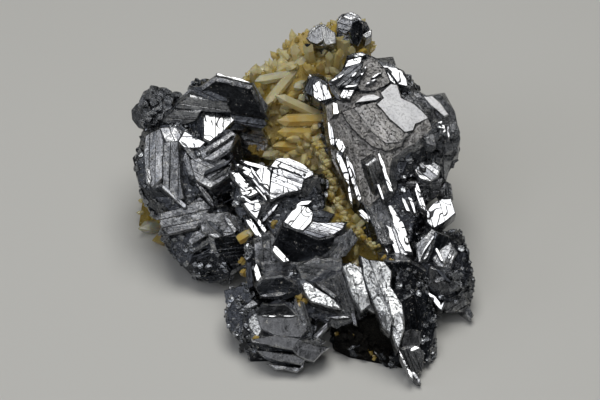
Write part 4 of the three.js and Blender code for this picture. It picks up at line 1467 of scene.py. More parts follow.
# Amber quartz grains that sit between the galena crystals.
LEFT_GRAINS = (
    Cluster((252, 150, 21.4), 1, 4),
    Cluster((261, 154, 20.6), 1, 4),
)
FRONT_GRAINS = (
    Cluster((273, 224, 34.6), 0.9),
    Cluster((243, 262, 34.2), 0.8, 4),
    Cluster((244, 272, 35), 0.8, 4),
    Cluster((247, 284, 35.2), 0.6),
    Block((244, 237, 34.4), (2.6, 1.4, 1.7), (-15, 24), 35, 0.84, Finish.QUARTZ_PRISM, False, rim=0.05),
    Block((250, 233, 34.6), (1.6, 1.2, 1.2), (10, 40), 60, 0.8, Finish.QUARTZ_PRISM, False, rim=0.05),
    *alike(
        Cluster, ((302, 303, 40), 0.8, 4), ((299, 298, 39.5), 0.7, 3), ((257, 339, 41.6), 0.8),
        ((336, 334, 37), 0.7, 4), ((368, 351, 37), 0.8, 5), ((374, 356, 36.8), 0.7, 3),
        ((362, 353, 36.6), 0.6, 3), ((375, 330, 38.4), 0.7, 3), ((352, 334, 38), 0.5, 3),
        ((392, 262, 37.2), 0.7), ((384, 258, 36.8), 0.6),
    ),
)


# The larger points on the bed at the lower left.
LEFT_POINTS = (
    Point((176, 212, 6), (143, 200, 12.5), 1.4),
    Point((174, 224, 6), (138, 229, 10), 1.5),
    Point((186, 238, 8), (152, 240, 12), 1.4),
)


def colour(code: str) -> tuple[float, float, float, float]:
    """Turns an sRGB hex colour into the linear values that Blender works in."""
    values = [int(code[i : i + 2], 16) / 255 for i in (0, 2, 4)]
    red, green, blue = (v / 12.92 if v <= 0.04045 else ((v + 0.055) / 1.055) ** 2.4 for v in values)
    return (red, green, blue, 1)


class Tree:
    """Adds nodes with their settings and links to a node tree."""

    def __init__(self, tree: bpy.types.NodeTree) -> None:
        """Starts with an empty tree."""
        self.tree = tree
        tree.nodes.clear()

    def add(self, kind: str, *values: object, **settings: object) -> bpy.types.NodeOutputs:
        """Adds a node with its settings and links.

        Args:
            kind: The node's type.
            values: What its inputs get in order, each a value, a socket or a list of sockets; or one
                dict of them by name or number.
            settings: The node's properties.

        Returns:
            Its outputs.
        """
        node = self.tree.nodes.new(kind)
        for name, value in settings.items():
            setattr(node, name, value)
        inputs = values[0] if values and isinstance(values[0], dict) else dict(enumerate(values))
        for key, value in inputs.items():
            sources = value if isinstance(value, list) else [value]
            if not isinstance(sources[0], bpy.types.NodeSocket):
                node.inputs[key].default_value = value
                continue
            for source in sources:
                self.tree.links.new(source, node.inputs[key])
        return node.outputs

    def total(self, *parts: tuple[Socket, float]) -> Socket:
        """Adds up values, each times its weight."""
        total = 0
        for value, weight in parts:
            total = self.add("ShaderNodeMath", value, weight, total, operation="MULTIPLY_ADD")[0]
        return total


@dataclass(frozen=True)
class Look:
    """What the looks of all the crystals share: patterns that are sized in millimetres."""

    def material(self, name: str) -> bpy.types.Material:
        """Makes the material.

        Args:
            name: Its name.

        Returns:
            The new material.
        """
        material = bpy.data.materials.new(name)
        material.use_nodes = True
        tree = Tree(material.node_tree)
        place = tree.add("ShaderNodeTexCoord")["Object"]
        place = tree.add("ShaderNodeVectorMath", {0: place, "Scale": 1 / MM}, operation="SCALE")[0]
        tone = tree.add("ShaderNodeAttribute", attribute_name="tone")["Fac"]
        shader = tree.add("ShaderNodeBsdfPrincipled", self.surface(tree, place, tone))[0]
        tree.add("ShaderNodeOutputMaterial", shader)
        return material

    def surface(self, tree: Tree, place: Socket, tone: Socket) -> dict[str, object]:
        """Works out the shader's inputs; each kind of look has its own.

        Args:
            tree: The material's nodes.
            place: The point on the specimen, in millimetres.
            tone: The number from 0 to 1 that sets a crystal apart from its neighbours.

        Returns:
            What the shader's inputs get, by name.
        """
        raise NotImplementedError


PIT_COLOUR = "17181B"
CURL_COLOUR = "08090A"
STRETCH = 2.5  # how much shorter the patterns are across the striations
CURL_LEVELS = 7.5  # how many curved growth lines one wave of the pattern has


@dataclass(frozen=True)
class GalenaLook(Look):
    """How a kind of galena face looks.

    Attributes:
        dark: The colour of its darkest parts.
        light: The colour of its lightest parts.
        speck: The colour of the specks on it.
        specks: The share of the face that specks cover.
        smooth: The roughness of its smoothest parts.
        dull: The roughness of its dullest parts.
        lines: How deep its striations are.
        line_step: The distance between striations.
        pits: How deep its pits are.
        waves: How deep its broad waves are.
        mosaic: How far the small blocks that it is made of lean from each other.
        cell: The width of those blocks.
        curls: How dark the curved growth lines on it are.
        pit_darkness: How dark its pits are.
        metal: How metallic it is.
    """

    dark: str
    light: str
    speck: str = "E2DED4"
    specks: float = 0.1
    smooth: float = 0.14
    dull: float = 0.3
    lines: float = 0.012
    line_step: float = 0.16
    pits: float = 0.02
    waves: float = 0.05
    mosaic: float = 0.12
    cell: float = 0.7
    curls: float = 0
    pit_darkness: float = 0.45
    metal: float = 1

    def surface(self, tree: Tree, place: Socket, tone: Socket) -> dict[str, object]:
        """Works out the colour, roughness and relief of a face with striations, pits and specks."""
        grain = tree.add("ShaderNodeAttribute", attribute_name="grain")["Vector"]
        across = tree.add("ShaderNodeVectorMath", place, grain, operation="DOT_PRODUCT")["Value"]
        stretch = tree.add("ShaderNodeMath", across, STRETCH, operation="MULTIPLY")[0]
        stretch = tree.add("ShaderNodeVectorMath", {0: grain, "Scale": stretch}, operation="SCALE")[0]
        long = tree.add("ShaderNodeVectorMath", place, stretch, operation="ADD")[0]
        # Each pattern has its waves in a millimetre and its detail.
        patterns = ((place, 0.45, 3), (place, 0.8, 6), (place, 5, 4), (place, 2.6, 8), (long, 0.17, 1))
        wave, patches, fine, spots, level = (
            tree.add("ShaderNodeTexNoise", {0: at, "Scale": scale, "Detail": detail, "Roughness": 0.6})[0]
            for at, scale, detail in patterns
        )
        # The striations wander a little, and each crystal has its own.
        across = tree.total((across, 1), (wave, 0.35), (tone, 37))
        inputs = {"W": across, "Scale": 1 / self.line_step, "Detail": 5, "Roughness": 0.62}
        lines = tree.add("ShaderNodeTexNoise", inputs, noise_dimensions="1D")[0]
        pitted = tree.add("ShaderNodeMapRange", spots, 0.36, 0.5, 0, 1)[0]
        covered = tree.total((fine, 0.6), (patches, 0.4))
        edge = 0.62 - self.specks * 0.32  # the level that the pattern passes where there is a speck
        specks = tree.add("ShaderNodeMapRange", covered, edge, edge + 0.03, 0, 1)[0]
        shade = tree.total((lines, 0.5), (patches, 0.5), (tone, 0.36))
        level = tree.total((level, CURL_LEVELS), (tone, 1))
        level = tree.add("ShaderNodeMath", level, operation="FRACT")[0]
        layers = (
            (tree.add("ShaderNodeMapRange", shade, 0.35, 0.8, 0, 1)[0], self.light),
            # The pits are painted darker, towards a near-black.
            (tree.add("ShaderNodeMapRange", pitted, 0, 1, self.pit_darkness, 0)[0], PIT_COLOUR),
            (tree.add("ShaderNodeMapRange", level, 0.16, 0.24, self.curls, 0)[0], CURL_COLOUR),
            (specks, self.speck),
        )
        base = colour(self.dark)
        for share, code in layers:
            base = tree.add("ShaderNodeMix", {0: share, 6: base, 7: colour(code)}, data_type="RGBA")[2]
        gloss = tree.add("ShaderNodeMath", patches, lines, operation="MULTIPLY")[0]
        gloss = tree.add("ShaderNodeMapRange", gloss, 0.14, 0.36, self.smooth, self.dull)[0]
        matt = tree.add("ShaderNodeMath", specks, 0.7, operation="MULTIPLY")[0]
        normal = self.leaning(tree, long)
        finest = self.pits * 0.35
        reliefs = ((wave, self.waves), (lines, self.lines), (pitted, self.pits), (fine, finest))
        for height, depth in reliefs:
            inputs = {"Height": height, "Distance": depth * MM, "Normal": normal}
            normal = tree.add("ShaderNodeBump", inputs)[0]
        return {
            "Base Color": base,
            "Metallic": tree.add("ShaderNodeMapRange", specks, 0, 1, self.metal, 0)[0],
            "Roughness": tree.add("ShaderNodeMath", gloss, matt, operation="MAXIMUM")[0],
            "Normal": normal,
        }

    def leaning(self, tree: Tree, long: Socket) -> Socket:
        """Leans the face's normal from block to block, in a space that shortens the striations."""
        cells = tree.add("ShaderNodeTexVoronoi", {"Vector": long, "Scale": 0.28 / self.cell})["Color"]
        lean = tree.add("ShaderNodeVectorMath", cells, (0.5, 0.5, 0.5), operation="SUBTRACT")[0]
        lean = tree.add("ShaderNodeVectorMath", {0: lean, "Scale": self.mosaic}, operation="SCALE")[0]
        flat = tree.add("ShaderNodeNewGeometry")["Normal"]
        turned = tree.add("ShaderNodeVectorMath", flat, lean, operation="ADD")[0]
        return tree.add("ShaderNodeVectorMath", turned, operation="NORMALIZE")[0]


# Galena is a bare lead-grey metal. A fresh cleavage face is bright, with fine dark cracks; that lighter
# colour is also given to the faces that mirror the overhead light and to the rims, as a painted highlight.
# Growth faces are brushed by striations, worn or tarnished black, and small crystals sparkle. The tarnished
# black also paints shade on some faces that turn down. Mottled, frosted and satin faces show pale in the
# light.
# The rind under the blades is dark and rough; its near-black is painted shade there and in the grooves
# between growth strips.
GALENA_LOOKS = {
    Finish.CLEAVAGE: GalenaLook(
        "6C6E76", "BEC0C4", smooth=0.1, dull=0.22, specks=0, lines=0.008, pits=0.003, waves=0.08,
        mosaic=0.07, cell=1.4, curls=0.97, pit_darkness=0.05,
    ),
    Finish.BRUSHED: GalenaLook(
        "404146", "B4B6BA", smooth=0.16, dull=0.36, lines=0.03, line_step=0.34, pits=0.03,
        mosaic=0.34, cell=0.6, curls=0.4,
    ),
    Finish.WORN: GalenaLook(
        "3C3B3A", "BAB8B6", smooth=0.24, dull=0.42, lines=0.04, line_step=0.24, pits=0.06,
        mosaic=0.2, cell=0.6, curls=0.06, pit_darkness=0.7,
    ),
    Finish.SPARKLING: GalenaLook(
        "26272B", "9C9FA4", smooth=0.1, dull=0.28, lines=0.03, pits=0.04, specks=0.04,
        mosaic=0.8, cell=0.32, curls=0.6,
    ),
    Finish.MOTTLED: GalenaLook(
        "54585E", "D2D5D9", speck="26292E", specks=0.14, smooth=0.2, dull=0.36, pits=0.03,
        lines=0.02, mosaic=0.16, cell=0.8, curls=0.7, pit_darkness=0.8,
    ),
    Finish.FROSTED: GalenaLook(
        "A6A7A9", "D8D9DB", smooth=0.36, dull=0.5, lines=0.003, pits=0.012, waves=0.02, specks=0,
        mosaic=0.06, pit_darkness=0.3,
    ),
    Finish.SATIN: GalenaLook(
        "101011", "68696B", smooth=0.14, dull=0.3, lines=0.006, pits=0.005, specks=0.005,
        mosaic=0.05, cell=2.4, pit_darkness=0.2, waves=0.12,
    ),
    Finish.TARNISHED: GalenaLook(
        "17181B", "54575D", smooth=0.14, dull=0.3, lines=0.02, line_step=0.4, specks=0.03,
        mosaic=0.18, cell=0.9, curls=0.5,
    ),
    Finish.RIND: GalenaLook(
        "080808", "1E1D1B", speck="3E3422", specks=0.05, smooth=0.25, dull=0.55, pits=0.16,
        mosaic=0.9, cell=0.4, metal=0.9,
    ),
    Finish.DULL: GalenaLook(
        "74767B", "D0D2D5", smooth=0.24, dull=0.44, lines=0.02, pits=0.03, specks=0.05,
        mosaic=0.16, cell=0.7, curls=0.1, pit_darkness=0.5, waves=0.02,
    ),
}


@dataclass(frozen=True)
class QuartzLook(Look):
    """How a kind of quartz looks.

    Attributes:
        deep: The colour where it is deepest.
        pale: The colour where it is palest.
        clear: How much light passes through it.
        milk: How much light it scatters inside.
        rough: Its roughness.
    """

    deep: str
    pale: str
    clear: float
    milk: float
    rough: float

    def surface(self, tree: Tree, place: Socket, tone: Socket) -> dict[str, object]:
        """Works out a cloudy colour and the light that passes and scatters."""
        cloud, fine = (
            tree.add("ShaderNodeTexNoise", {0: place, "Scale": scale, "Detail": detail, "Roughness": 0.6})[0]
            for scale, detail in ((0.5, 4), (4, 5))
        )
        shade = tree.total((tone, 0.5), (cloud, 0.6))
        share = tree.add("ShaderNodeMapRange", shade, 0.3, 0.8, 0, 1)[0]
        inputs = {0: share, 6: colour(self.deep), 7: colour(self.pale)}
        gloss = (self.rough * 0.6, self.rough * 1.5)
        return {
            "Base Color": tree.add("ShaderNodeMix", inputs, data_type="RGBA")[2],
            "Roughness": tree.add("ShaderNodeMapRange", fine, 0.35, 0.65, *gloss)[0],
            "IOR": 1.54,
            "Transmission Weight": self.clear,
            "Subsurface Weight": self.milk,
            "Subsurface Radius": (1.2, 0.9, 0.4),
            "Subsurface Scale": MM,
            "Normal": tree.add("ShaderNodeBump", {"Height": fine, "Distance": 0.02 * MM})[0],
        }


# Quartz that iron stains yellow: clear prisms, milkier points, their cloudy bed and amber grains. The bed's
# darker olive is its own colour and also painted shade in the gaps between the prisms.
QUARTZ_LOOKS = {
    Finish.QUARTZ_PRISM: QuartzLook("FAD676", "FFFEE6", clear=0.5, milk=0.5, rough=0.03),
    Finish.QUARTZ_POINT: QuartzLook("D6B856", "FBF2C6", clear=0.42, milk=0.42, rough=0.05),
    Finish.QUARTZ_BED: QuartzLook("827030", "BEA450", clear=0.1, milk=0.4, rough=0.3),
    Finish.QUARTZ_GRAIN: QuartzLook("8C7434", "CBB064", clear=0.25, milk=0.2, rough=0.2),
}


def make_materials() -> None:
    """Makes the material of each finish."""
    for finish, look in {**GALENA_LOOKS, **QUARTZ_LOOKS}.items():
        look.material(finish.value)


class NodeGroup:
    """A Geometry Nodes tree that takes a collection of shapes and named values."""

    def __init__(self, name: str, kinds: dict[str, str]) -> None:
        """Makes the tree.

        Args:
            name: Its name.
            kinds: For each input's name, its kind of socket.
        """
        self.group = bpy.data.node_groups.new(name, "GeometryNodeTree")
        face = self.group.interface
        self.sockets = {
            key: face.new_socket(key, in_out="INPUT", socket_type="NodeSocket" + kind)
            for key, kind in {"Geometry": "Geometry", "Shapes": "Collection", **kinds}.items()
        }
        face.new_socket("Geometry", in_out="OUTPUT", socket_type="NodeSocketGeometry")
        tree = Tree(self.group)
        tree.add("NodeGroupOutput", self.grown(tree, tree.add("NodeGroupInput")))

    def grown(self, tree: Tree, given: bpy.types.NodeOutputs) -> Socket:
        """Adds the nodes between the tree's inputs and its result; each kind of tree has its own."""
        raise NotImplementedError

    def applied(
        self, holder: bpy.types.Object, shapes: Sequence[bpy.types.Mesh], values: dict[str, object]
    ) -> bpy.types.Object:
        """Runs the tree on an object and turns what it makes into a plain one.

        Args:
            holder: The object, which the new one takes the place of.
            shapes: The meshes of the collection.
            values: What the other inputs get, by name.

        Returns:
            The new object.
        """
        store = bpy.data.collections.new("shapes")
        for mesh in shapes:
            store.objects.link(bpy.data.objects.new(mesh.name, mesh))
        modifier = holder.modifiers.new("grow", "NODES")
        modifier.node_group = self.group
        for key, value in {"Shapes": store, **values}.items():
            modifier[self.sockets[key].identifier] = value
        graph = bpy.context.evaluated_depsgraph_get()
        shown = holder.evaluated_get(graph)
        mesh = bpy.data.meshes.new_from_object(shown, preserve_all_data_layers=True, depsgraph=graph)
        made = bpy.data.objects.new("grown", mesh)
        bpy.context.scene.collection.objects.link(made)
        for used in (holder, *store.objects):
            bpy.data.objects.remove(used)
        bpy.data.collections.remove(store)
        return made


class GrownTogether(NodeGroup):
    """Grows closed crystals together into one solid, trimmed to a box."""

    def __init__(self) -> None:
        """Builds the tree."""
        super().__init__("grown_together", {"Middle": "Vector", "Size": "Vector"})

    def grown(self, tree: Tree, given: bpy.types.NodeOutputs) -> Socket:
        """Joins the crystals, cuts them with the box and gives each face its material."""
        inputs = {"Collection": given["Shapes"], "Separate Children": True}
        parts = tree.add("GeometryNodeCollectionInfo", inputs)[0]
        joined = {"Mesh 2": parts}
        joined = tree.add("GeometryNodeMeshBoolean", joined, operation="UNION", solver="MANIFOLD")[0]
        cube = tree.add("GeometryNodeMeshCube", given["Size"])["Mesh"]
        box = tree.add("GeometryNodeTransform", {0: cube, "Translation": given["Middle"]})[0]
        both = {"Mesh 2": [joined, box]}
        trimmed = tree.add("GeometryNodeMeshBoolean", both, operation="INTERSECT", solver="MANIFOLD")[0]
        solid = tree.add("GeometryNodeRealizeInstances", trimmed)[0]
        named = tree.add("GeometryNodeInputNamedAttribute", "finish", data_type="INT")[0]
        for k, finish in enumerate(Finish):
            alike = {2: named, 3: k}
            alike = tree.add("FunctionNodeCompare", alike, data_type="INT", operation="EQUAL")[0]
            material = bpy.data.materials[finish.value]
            solid = tree.add("GeometryNodeSetMaterial", solid, alike, material)[0]
        return solid

    def grow(self, crystals: Sequence[bpy.types.Mesh], low: Vector, high: Vector) -> bpy.types.Object:
        """Grows crystals together.

        Args:
            crystals: Their meshes.
            low: The low corner of the box to trim them to.
            high: Its high corner.

        Returns:
            The new object, in place.
        """
        holder = bpy.data.objects.new("holder", bpy.data.meshes.new("empty"))
        bpy.context.scene.collection.objects.link(holder)
        return self.applied(holder, crystals, {"Middle": (low + high) / 2, "Size": high - low})


@dataclass(frozen=True)
class SmallCrystals:
    """The shapes of the small crystals that a crust is made of, each about a millimetre wide.

    Attributes:
        seed: Where their chance starts.
        count: How many shapes there are.
    """

    seed: int
    count: int

    def shapes(self) -> list[bpy.types.Mesh]:
        """Makes the shapes, each the hull of its corners."""
        chance = random.Random(self.seed)
        made = []
        for k in range(self.count):
            shape = hull_of([axis * MM for axis in corner] for corner in self.corners(chance))
            bmesh.ops.recalc_face_normals(shape, faces=shape.faces)
            mesh = bpy.data.meshes.new(f"small_crystal_{k}")
            shape.to_mesh(mesh)
            shape.free()
            grain = mesh.attributes.new("grain", "FLOAT_VECTOR", "FACE")
            grain.data.foreach_set("vector", [0, 0, 1] * len(mesh.polygons))
            made.append(mesh)
        return made

    def corners(self, chance: random.Random) -> Iterator[Spot]:
        """Works out one shape's corners, in millimetres; each kind of crystal has its own."""
        raise NotImplementedError


@dataclass(frozen=True)
class DrusePoints(SmallCrystals):
    """Short six-sided quartz points that stand on their feet."""

    foot: float = 0.3  # how far a point reaches into the ground

    def corners(self, chance: random.Random) -> Iterator[Spot]:
        """Works out a prism whose alternate tip faces come down lower."""
        height = chance.uniform(0.7, 1.7)
        radius = chance.uniform(0.42, 0.62)
        cap = radius * chance.uniform(1.2, 1.7)
        for side in range(6):
            stretch = radius * chance.uniform(0.85, 1.1)
            x = math.cos(side * math.tau / 6) * stretch
            y = math.sin(side * math.tau / 6) * stretch
            low = cap * (0.8 if side % 2 else 1.15)
            yield x, y, -self.foot
            yield x * 0.94, y * 0.94, height - low
        yield 0, 0, height


@dataclass(frozen=True)
class GalenaGrains(SmallCrystals):
    """Small galena cubes with cut corners, some of them flat."""

    def corners(self, chance: random.Random) -> Iterator[Spot]:
        """Works out a cut cube whose height varies."""
        flat = chance.uniform(0.45, 1)
        cut = chance.uniform(0.8, 0.98)
        for x, y, z in Block((0, 0, 0), (1, 1, 1), cut=cut).corners():
            yield x / 2, y / 2, z / 2 * flat


@dataclass(frozen=True)
class Growth:
    """How small crystals grow on rough ground, in millimetres.

    Attributes:
        kinds: The shapes that they come in.
        finish: Their finish.
        distance: The least distance between two.
        density: The most of them on a square millimetre.
        smallest: The scale of the smallest.
        largest: The scale of the largest.
        lean: How far they lean, in degrees.
        twist: How far they turn on their feet, in degrees.
        reach: How far they stand out, at a scale of 1.
        seed: Where their chance starts.
    """

    kinds: SmallCrystals
    finish: Finish
    distance: float
    density: float
    smallest: float
    largest: float
    lean: float
    twist: float
    reach: float
    seed: int


DRUSE = Growth(
    DrusePoints(4, 6), Finish.QUARTZ_POINT, distance=1.15, density=0.9, smallest=0.6, largest=1.9,
    lean=34, twist=180, reach=1.7, seed=5,
)
GALENA_CRUST = Growth(
    GalenaGrains(3, 5), Finish.SPARKLING, distance=0.8, density=0.8, smallest=0.4, largest=1.2,
    lean=26, twist=45, reach=0.7, seed=9,
)


class Crust(NodeGroup):
    """Spreads small crystals over the faces of a solid that are marked rough."""

    def __init__(self) -> None:
        """Builds the tree."""
        measures = ("Distance", "Density", "Smallest", "Largest", "Lean", "Twist", "Reach")
        kinds = {name: "Float" for name in measures}
        kinds |= {"Low": "Vector", "High": "Vector", "Seed": "Int", "Material": "Material"}
        super().__init__("crust", kinds)

    def grown(self, tree: Tree, given: bpy.types.NodeOutputs) -> Socket:
        """Spreads points, keeps those with room in the box and sets a crystal on each."""
        rough = tree.add("GeometryNodeInputNamedAttribute", "rough", data_type="FLOAT")[0]
        inputs = {
            "Mesh": given["Geometry"],
            "Distance Min": given["Distance"],
            "Density Max": given["Density"],
            "Density Factor": rough,
            "Seed": given["Seed"],
        }
        spread = tree.add("GeometryNodeDistributePointsOnFaces", inputs, distribute_method="POISSON")
        fitting = self.fitting(tree, given)
        least = tree.add("ShaderNodeMath", given["Smallest"], 0.5, operation="MULTIPLY")[0]
        tight = tree.add("ShaderNodeMath", fitting, least, operation="LESS_THAN")[0]
        kept = tree.add("GeometryNodeDeleteGeometry", spread["Points"], tight)[0]
        inputs = {"Rotation": spread["Rotation"], "Rotate By": self.lean(tree, given)}
        turned = tree.add("FunctionNodeRotateRotation", inputs, rotation_space="LOCAL")[0]
        inputs = {2: given["Smallest"], 3: given["Largest"], "Seed": given["Seed"]}
        size = tree.add("FunctionNodeRandomValue", inputs, data_type="FLOAT")[1]
        shapes = {"Collection": given["Shapes"], "Separate Children": True, "Reset Children": True}
        inputs = {
            "Points": kept,
            "Instance": tree.add("GeometryNodeCollectionInfo", shapes)[0],
            "Pick Instance": True,
            "Rotation": turned,
            "Scale": tree.add("ShaderNodeMath", size, fitting, operation="MINIMUM")[0],
        }
        grown = tree.add("GeometryNodeInstanceOnPoints", inputs)[0]
        inputs = {2: 0.0, 3: 1.0, "Seed": given["Seed"]}
        tone = tree.add("FunctionNodeRandomValue", inputs, data_type="FLOAT")[1]
        inputs = {"Geometry": grown, "Name": "tone", "Value": tone}
        grown = tree.add("GeometryNodeStoreNamedAttribute", inputs, domain="INSTANCE")[0]
        real = tree.add("GeometryNodeRealizeInstances", grown)[0]
        inputs = {"Geometry": real, "Material": given["Material"]}
        crust = tree.add("GeometryNodeSetMaterial", inputs)[0]
        return tree.add("GeometryNodeJoinGeometry", [given["Geometry"], crust])[0]

    @staticmethod
    def fitting(tree: Tree, given: bpy.types.NodeOutputs) -> Socket:
        """Finds the largest scale that has room between a point and the box."""
        place = tree.add("GeometryNodeInputPosition")[0]
        room = []
        for lower, upper in ((given["Low"], place), (place, given["High"])):
            gap = tree.add("ShaderNodeVectorMath", upper, lower, operation="SUBTRACT")[0]
            room.extend(tree.add("ShaderNodeSeparateXYZ", gap))
        least = room[0]
        for gap in room[1:]:
            least = tree.add("ShaderNodeMath", least, gap, operation="MINIMUM")[0]
        return tree.add("ShaderNodeMath", least, given["Reach"], operation="DIVIDE")[0]

    @staticmethod
    def lean(tree: Tree, given: bpy.types.NodeOutputs) -> Socket:
        """Picks how each crystal leans away from the face that it stands on."""
        most = tree.add("ShaderNodeCombineXYZ", given["Lean"], given["Lean"], given["Twist"])[0]
        least = tree.add("ShaderNodeVectorMath", {0: most, "Scale": -1.0}, operation="SCALE")[0]
        inputs = {0: least, 1: most, "Seed": given["Seed"]}
        return tree.add("FunctionNodeRandomValue", inputs, data_type="FLOAT_VECTOR")[0]

    def grow(
        self, ground: bpy.types.Object, growth: Growth, low: Vector, high: Vector
    ) -> bpy.types.Object:
        """Grows small crystals over a solid.

        Args:
            ground: The solid.
            growth: How they grow.
            low: The low corner of the box that they stay inside.
            high: Its high corner.

        Returns:
            The new object, which takes the solid's place.
        """
        kinds = growth.kinds.shapes()
        values = {
            "Distance": growth.distance * MM,
            "Density": growth.density / MM / MM,
            "Smallest": growth.smallest,
            "Largest": growth.largest,
            "Lean": math.radians(growth.lean),
            "Twist": math.radians(growth.twist),
            "Reach": growth.reach * MM,
            "Low": low,
            "High": high,
            "Seed": growth.seed,
            "Material": bpy.data.materials[growth.finish.value],
        }
        made = self.applied(ground, kinds, values)
        for mesh in kinds:
            bpy.data.meshes.remove(mesh)
        return made


@dataclass
class Piece:
    """One piece of the specimen.

    Attributes:
        node: The name of the part's node that it stands for.
        crystals: The crystals that grow together in it.
        slot: The record's material slot; not used.
        seed: Where its chance starts.
        growth: The small crystals that grow on it, if any do.
    """

    node: str
    crystals: Sequence[Crystal]
    slot: str
    seed: int
    growth: Growth | None = None

    def build(self, together: GrownTogether, crust: Crust) -> bpy.types.Object:
        """Builds the piece and puts it in the place of its node.

        Args:
            together: The tree that grows crystals together.
            crust: The tree that grows small crystals on them.

        Returns:
            The finished object.
        """
        chance = random.Random(self.seed)
        shells = [shell for crystal in self.crystals for shell in crystal.shells(chance)]
        meshes = [shell.mesh() for shell in shells]
        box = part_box(self.node)
        made = together.grow(meshes, *box)
        if self.growth:
            made = crust.grow(made, self.growth, *box)
        made.name = self.node + "_looks"
        made.data.name = made.name
        for mesh in meshes:
            bpy.data.meshes.remove(mesh)
        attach(made, "root")
        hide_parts(self.node)
        triangles = sum(len(face.vertices) - 2 for face in made.data.polygons)
        LOG.info("%s: %d shells, %d triangles", self.node, len(shells), triangles)
        return made


def seam_points() -> Iterator[Point]:
    """Lays the band of small quartz crystals beside the right twins."""
    chance = random.Random(70)
    steps = len(SEAM_LINE) - 1
    for k in range(SEAM_COUNT):
        share = k / SEAM_COUNT * steps
        near = Vector(SEAM_LINE[int(share)])
        u, v = near.lerp(Vector(SEAM_LINE[int(share) + 1]), share % 1)
        u, v = (place + chance.uniform(-reach, reach) for place, reach in ((u, 3.5), (v, 3)))
        out = SEAM_START + SEAM_RISE * k / SEAM_COUNT + chance.uniform(-0.8, 0.4)
        root = (u + chance.uniform(1, 9), v + chance.uniform(-5, 7), out - SEAM_LENGTH)
        yield Point(root, (u, v, out), chance.uniform(*SEAM_RADII), 1.1, Finish.QUARTZ_POINT)


def in_finish(crystals: Sequence[Crystal], finish: Finish) -> tuple[Crystal, ...]:
    """Gives a finish to the crystals that don't name their own."""
    return tuple(replace(crystal, finish=crystal.finish or finish) for crystal in crystals)


def quartz_crystals() -> list[Crystal]:
    """Gathers the crystals of the quartz bed, with rough ground for the druse."""
    # The ground between the prisms takes the darker bed colour, partly painted shade.
    ground = [replace(lump, finish=Finish.QUARTZ_BED, rim=0) for lump in QUARTZ_LUMPS + QUARTZ_BASE]
    seam = Plate(SEAM, 26.8, (-20, -4), thick=6, flare=1, finish=Finish.QUARTZ_BED)
    top = [replace(point, finish=Finish.QUARTZ_POINT) for point in TOP_POINTS]
    return [*ground, seam, *FAN_POINTS, *top, *VALLEY_POINTS, *LEFT_POINTS, *seam_points()]


def build_specimen() -> None:
    """Builds the seven pieces."""
    together = GrownTogether()
    crust = Crust()
    left = LEFT_TWINS + in_finish(LEFT_GRAINS, Finish.QUARTZ_GRAIN)
    front = CENTRE_TWINS + LOWER_TWINS + BLADE_PAIR + LOWER_LEFT_CRYSTAL
    front += in_finish(FRONT_GRAINS, Finish.QUARTZ_GRAIN)
    top_left = in_finish(TOP_LEFT_CRYSTAL, Finish.DULL)
    top_right = in_finish(TOP_RIGHT_CRYSTAL, Finish.BRUSHED)
    pieces = (
        Piece("galena_right_twins", RIGHT_TWINS + RIGHT_FOOT, "galena", 11, GALENA_CRUST),
        Piece("galena_left_twins", left, "galena", 12, GALENA_CRUST),
        Piece("galena_front_twins", front, "galena", 13, GALENA_CRUST),
        Piece("galena_valley_crystal", VALLEY_CRYSTAL, "galena", 14),
        Piece("galena_top_left_crystal", top_left, "galena_dull", 15),
        Piece("galena_top_right_crystal", top_right, "galena_dull", 16),
        Piece("quartz_bed", quartz_crystals(), "quartz", 17, DRUSE),
    )
    for piece in pieces:
        piece.build(together, crust)


@dataclass(frozen=True)
class Lamp:
    """A rectangular studio light.

    Attributes:
        name: Its name.
        spot: Its place, in metres.
        aim: The point that it faces.
        size: Its width and height, in metres.
        power: Its power, in watts.
        tint: Its colour.
    """

    name: str
    spot: Spot
    aim: Spot
    size: Pixel
    power: float
    tint: str

    def build(self) -> None:
        """Adds the light to the scene."""
        data = bpy.data.lights.new(self.name, "AREA")
        data.shape = "RECTANGLE"
        data.size, data.size_y = self.size
        data.energy = self.power
        data.color = colour(self.tint)[:3]
        light = bpy.data.objects.new(self.name, data)
        light.location = self.spot
        aim = Vector(self.aim) - Vector(self.spot)
        light.rotation_euler = aim.to_track_quat("-Z", "Y").to_euler()
        bpy.context.scene.collection.objects.link(light)


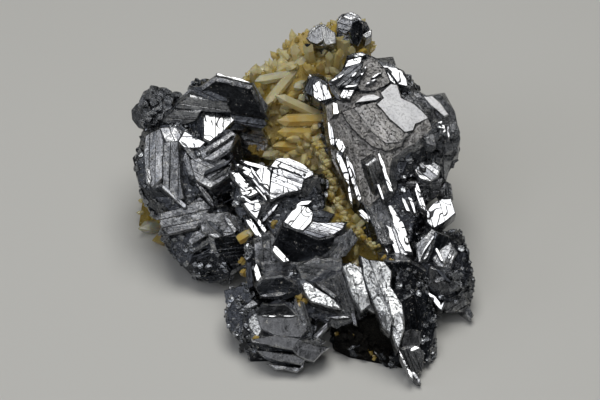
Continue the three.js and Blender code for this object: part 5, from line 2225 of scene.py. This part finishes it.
@dataclass(frozen=True)
class Studio:
    """The camera, the soft lights, the dim room and the pale floor."""

    lens: float = 180  # millimetres
    sensor: float = 36  # millimetres
    dim: tuple[float, ...] = (0.03, 0.033, 0.036, 1)  # the light of the room, which is linear
    floor_colour: str = "CFCFCC"
    floor_roughness: float = 0.8
    floor_reach: float = 3  # metres from the middle to each side
    lamps: tuple[Lamp, ...] = (
        Lamp("overhead_softbox", (0.02, 0.015, 0.6), (0, 0.015, 0.02), (0.42, 0.33), 2.1, "FFFDF8"),
        Lamp("front_softbox", (-0.2, -0.52, 0.68), (0, 0.01, 0.02), (0.7, 0.5), 1.5, "FCFCFF"),
        Lamp("left_fill", (-0.6, -0.2, 0.35), (0, 0, 0.02), (0.3, 0.3), 0.35, "F2F6FF"),
    )

    def build(self) -> None:
        """Adds the studio to the scene."""
        scene = bpy.context.scene
        data = bpy.data.cameras.new("camera")
        data.lens = self.lens
        data.sensor_width = self.sensor
        camera = bpy.data.objects.new("camera", data)
        camera.location = (DISPLAY.origin + DISPLAY.out * DISPLAY.distance) * MM
        camera.rotation_euler = (-DISPLAY.out).to_track_quat("-Z", "Y").to_euler()
        scene.collection.objects.link(camera)
        scene.camera = camera
        for lamp in self.lamps:
            lamp.build()
        world = bpy.data.worlds.new("dim_room")
        world.use_nodes = True
        world.node_tree.nodes["Background"].inputs["Color"].default_value = self.dim
        scene.world = world
        scene.view_settings.view_transform = "Standard"
        self.lay_floor()

    def lay_floor(self) -> None:
        """Adds the floor to the scene."""
        material = bpy.data.materials.new("pale_floor")
        material.use_nodes = True
        shader = material.node_tree.nodes["Principled BSDF"]
        shader.inputs["Base Color"].default_value = colour(self.floor_colour)
        shader.inputs["Roughness"].default_value = self.floor_roughness
        mesh = bpy.data.meshes.new("floor")
        signs = ((-1, -1), (1, -1), (1, 1), (-1, 1))
        corners = [(x * self.floor_reach, y * self.floor_reach, 0) for x, y in signs]
        mesh.from_pydata(corners, [], [(0, 1, 2, 3)])
        mesh.materials.append(material)
        floor = bpy.data.objects.new("floor", mesh)
        bpy.context.scene.collection.objects.link(floor)


def main() -> None:
    """Builds the studio and the specimen."""
    logging.basicConfig(level=logging.INFO, format="%(name)s: %(message)s")
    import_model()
    Studio().build()
    make_materials()
    build_specimen()


if __name__ == "__main__":
    main()
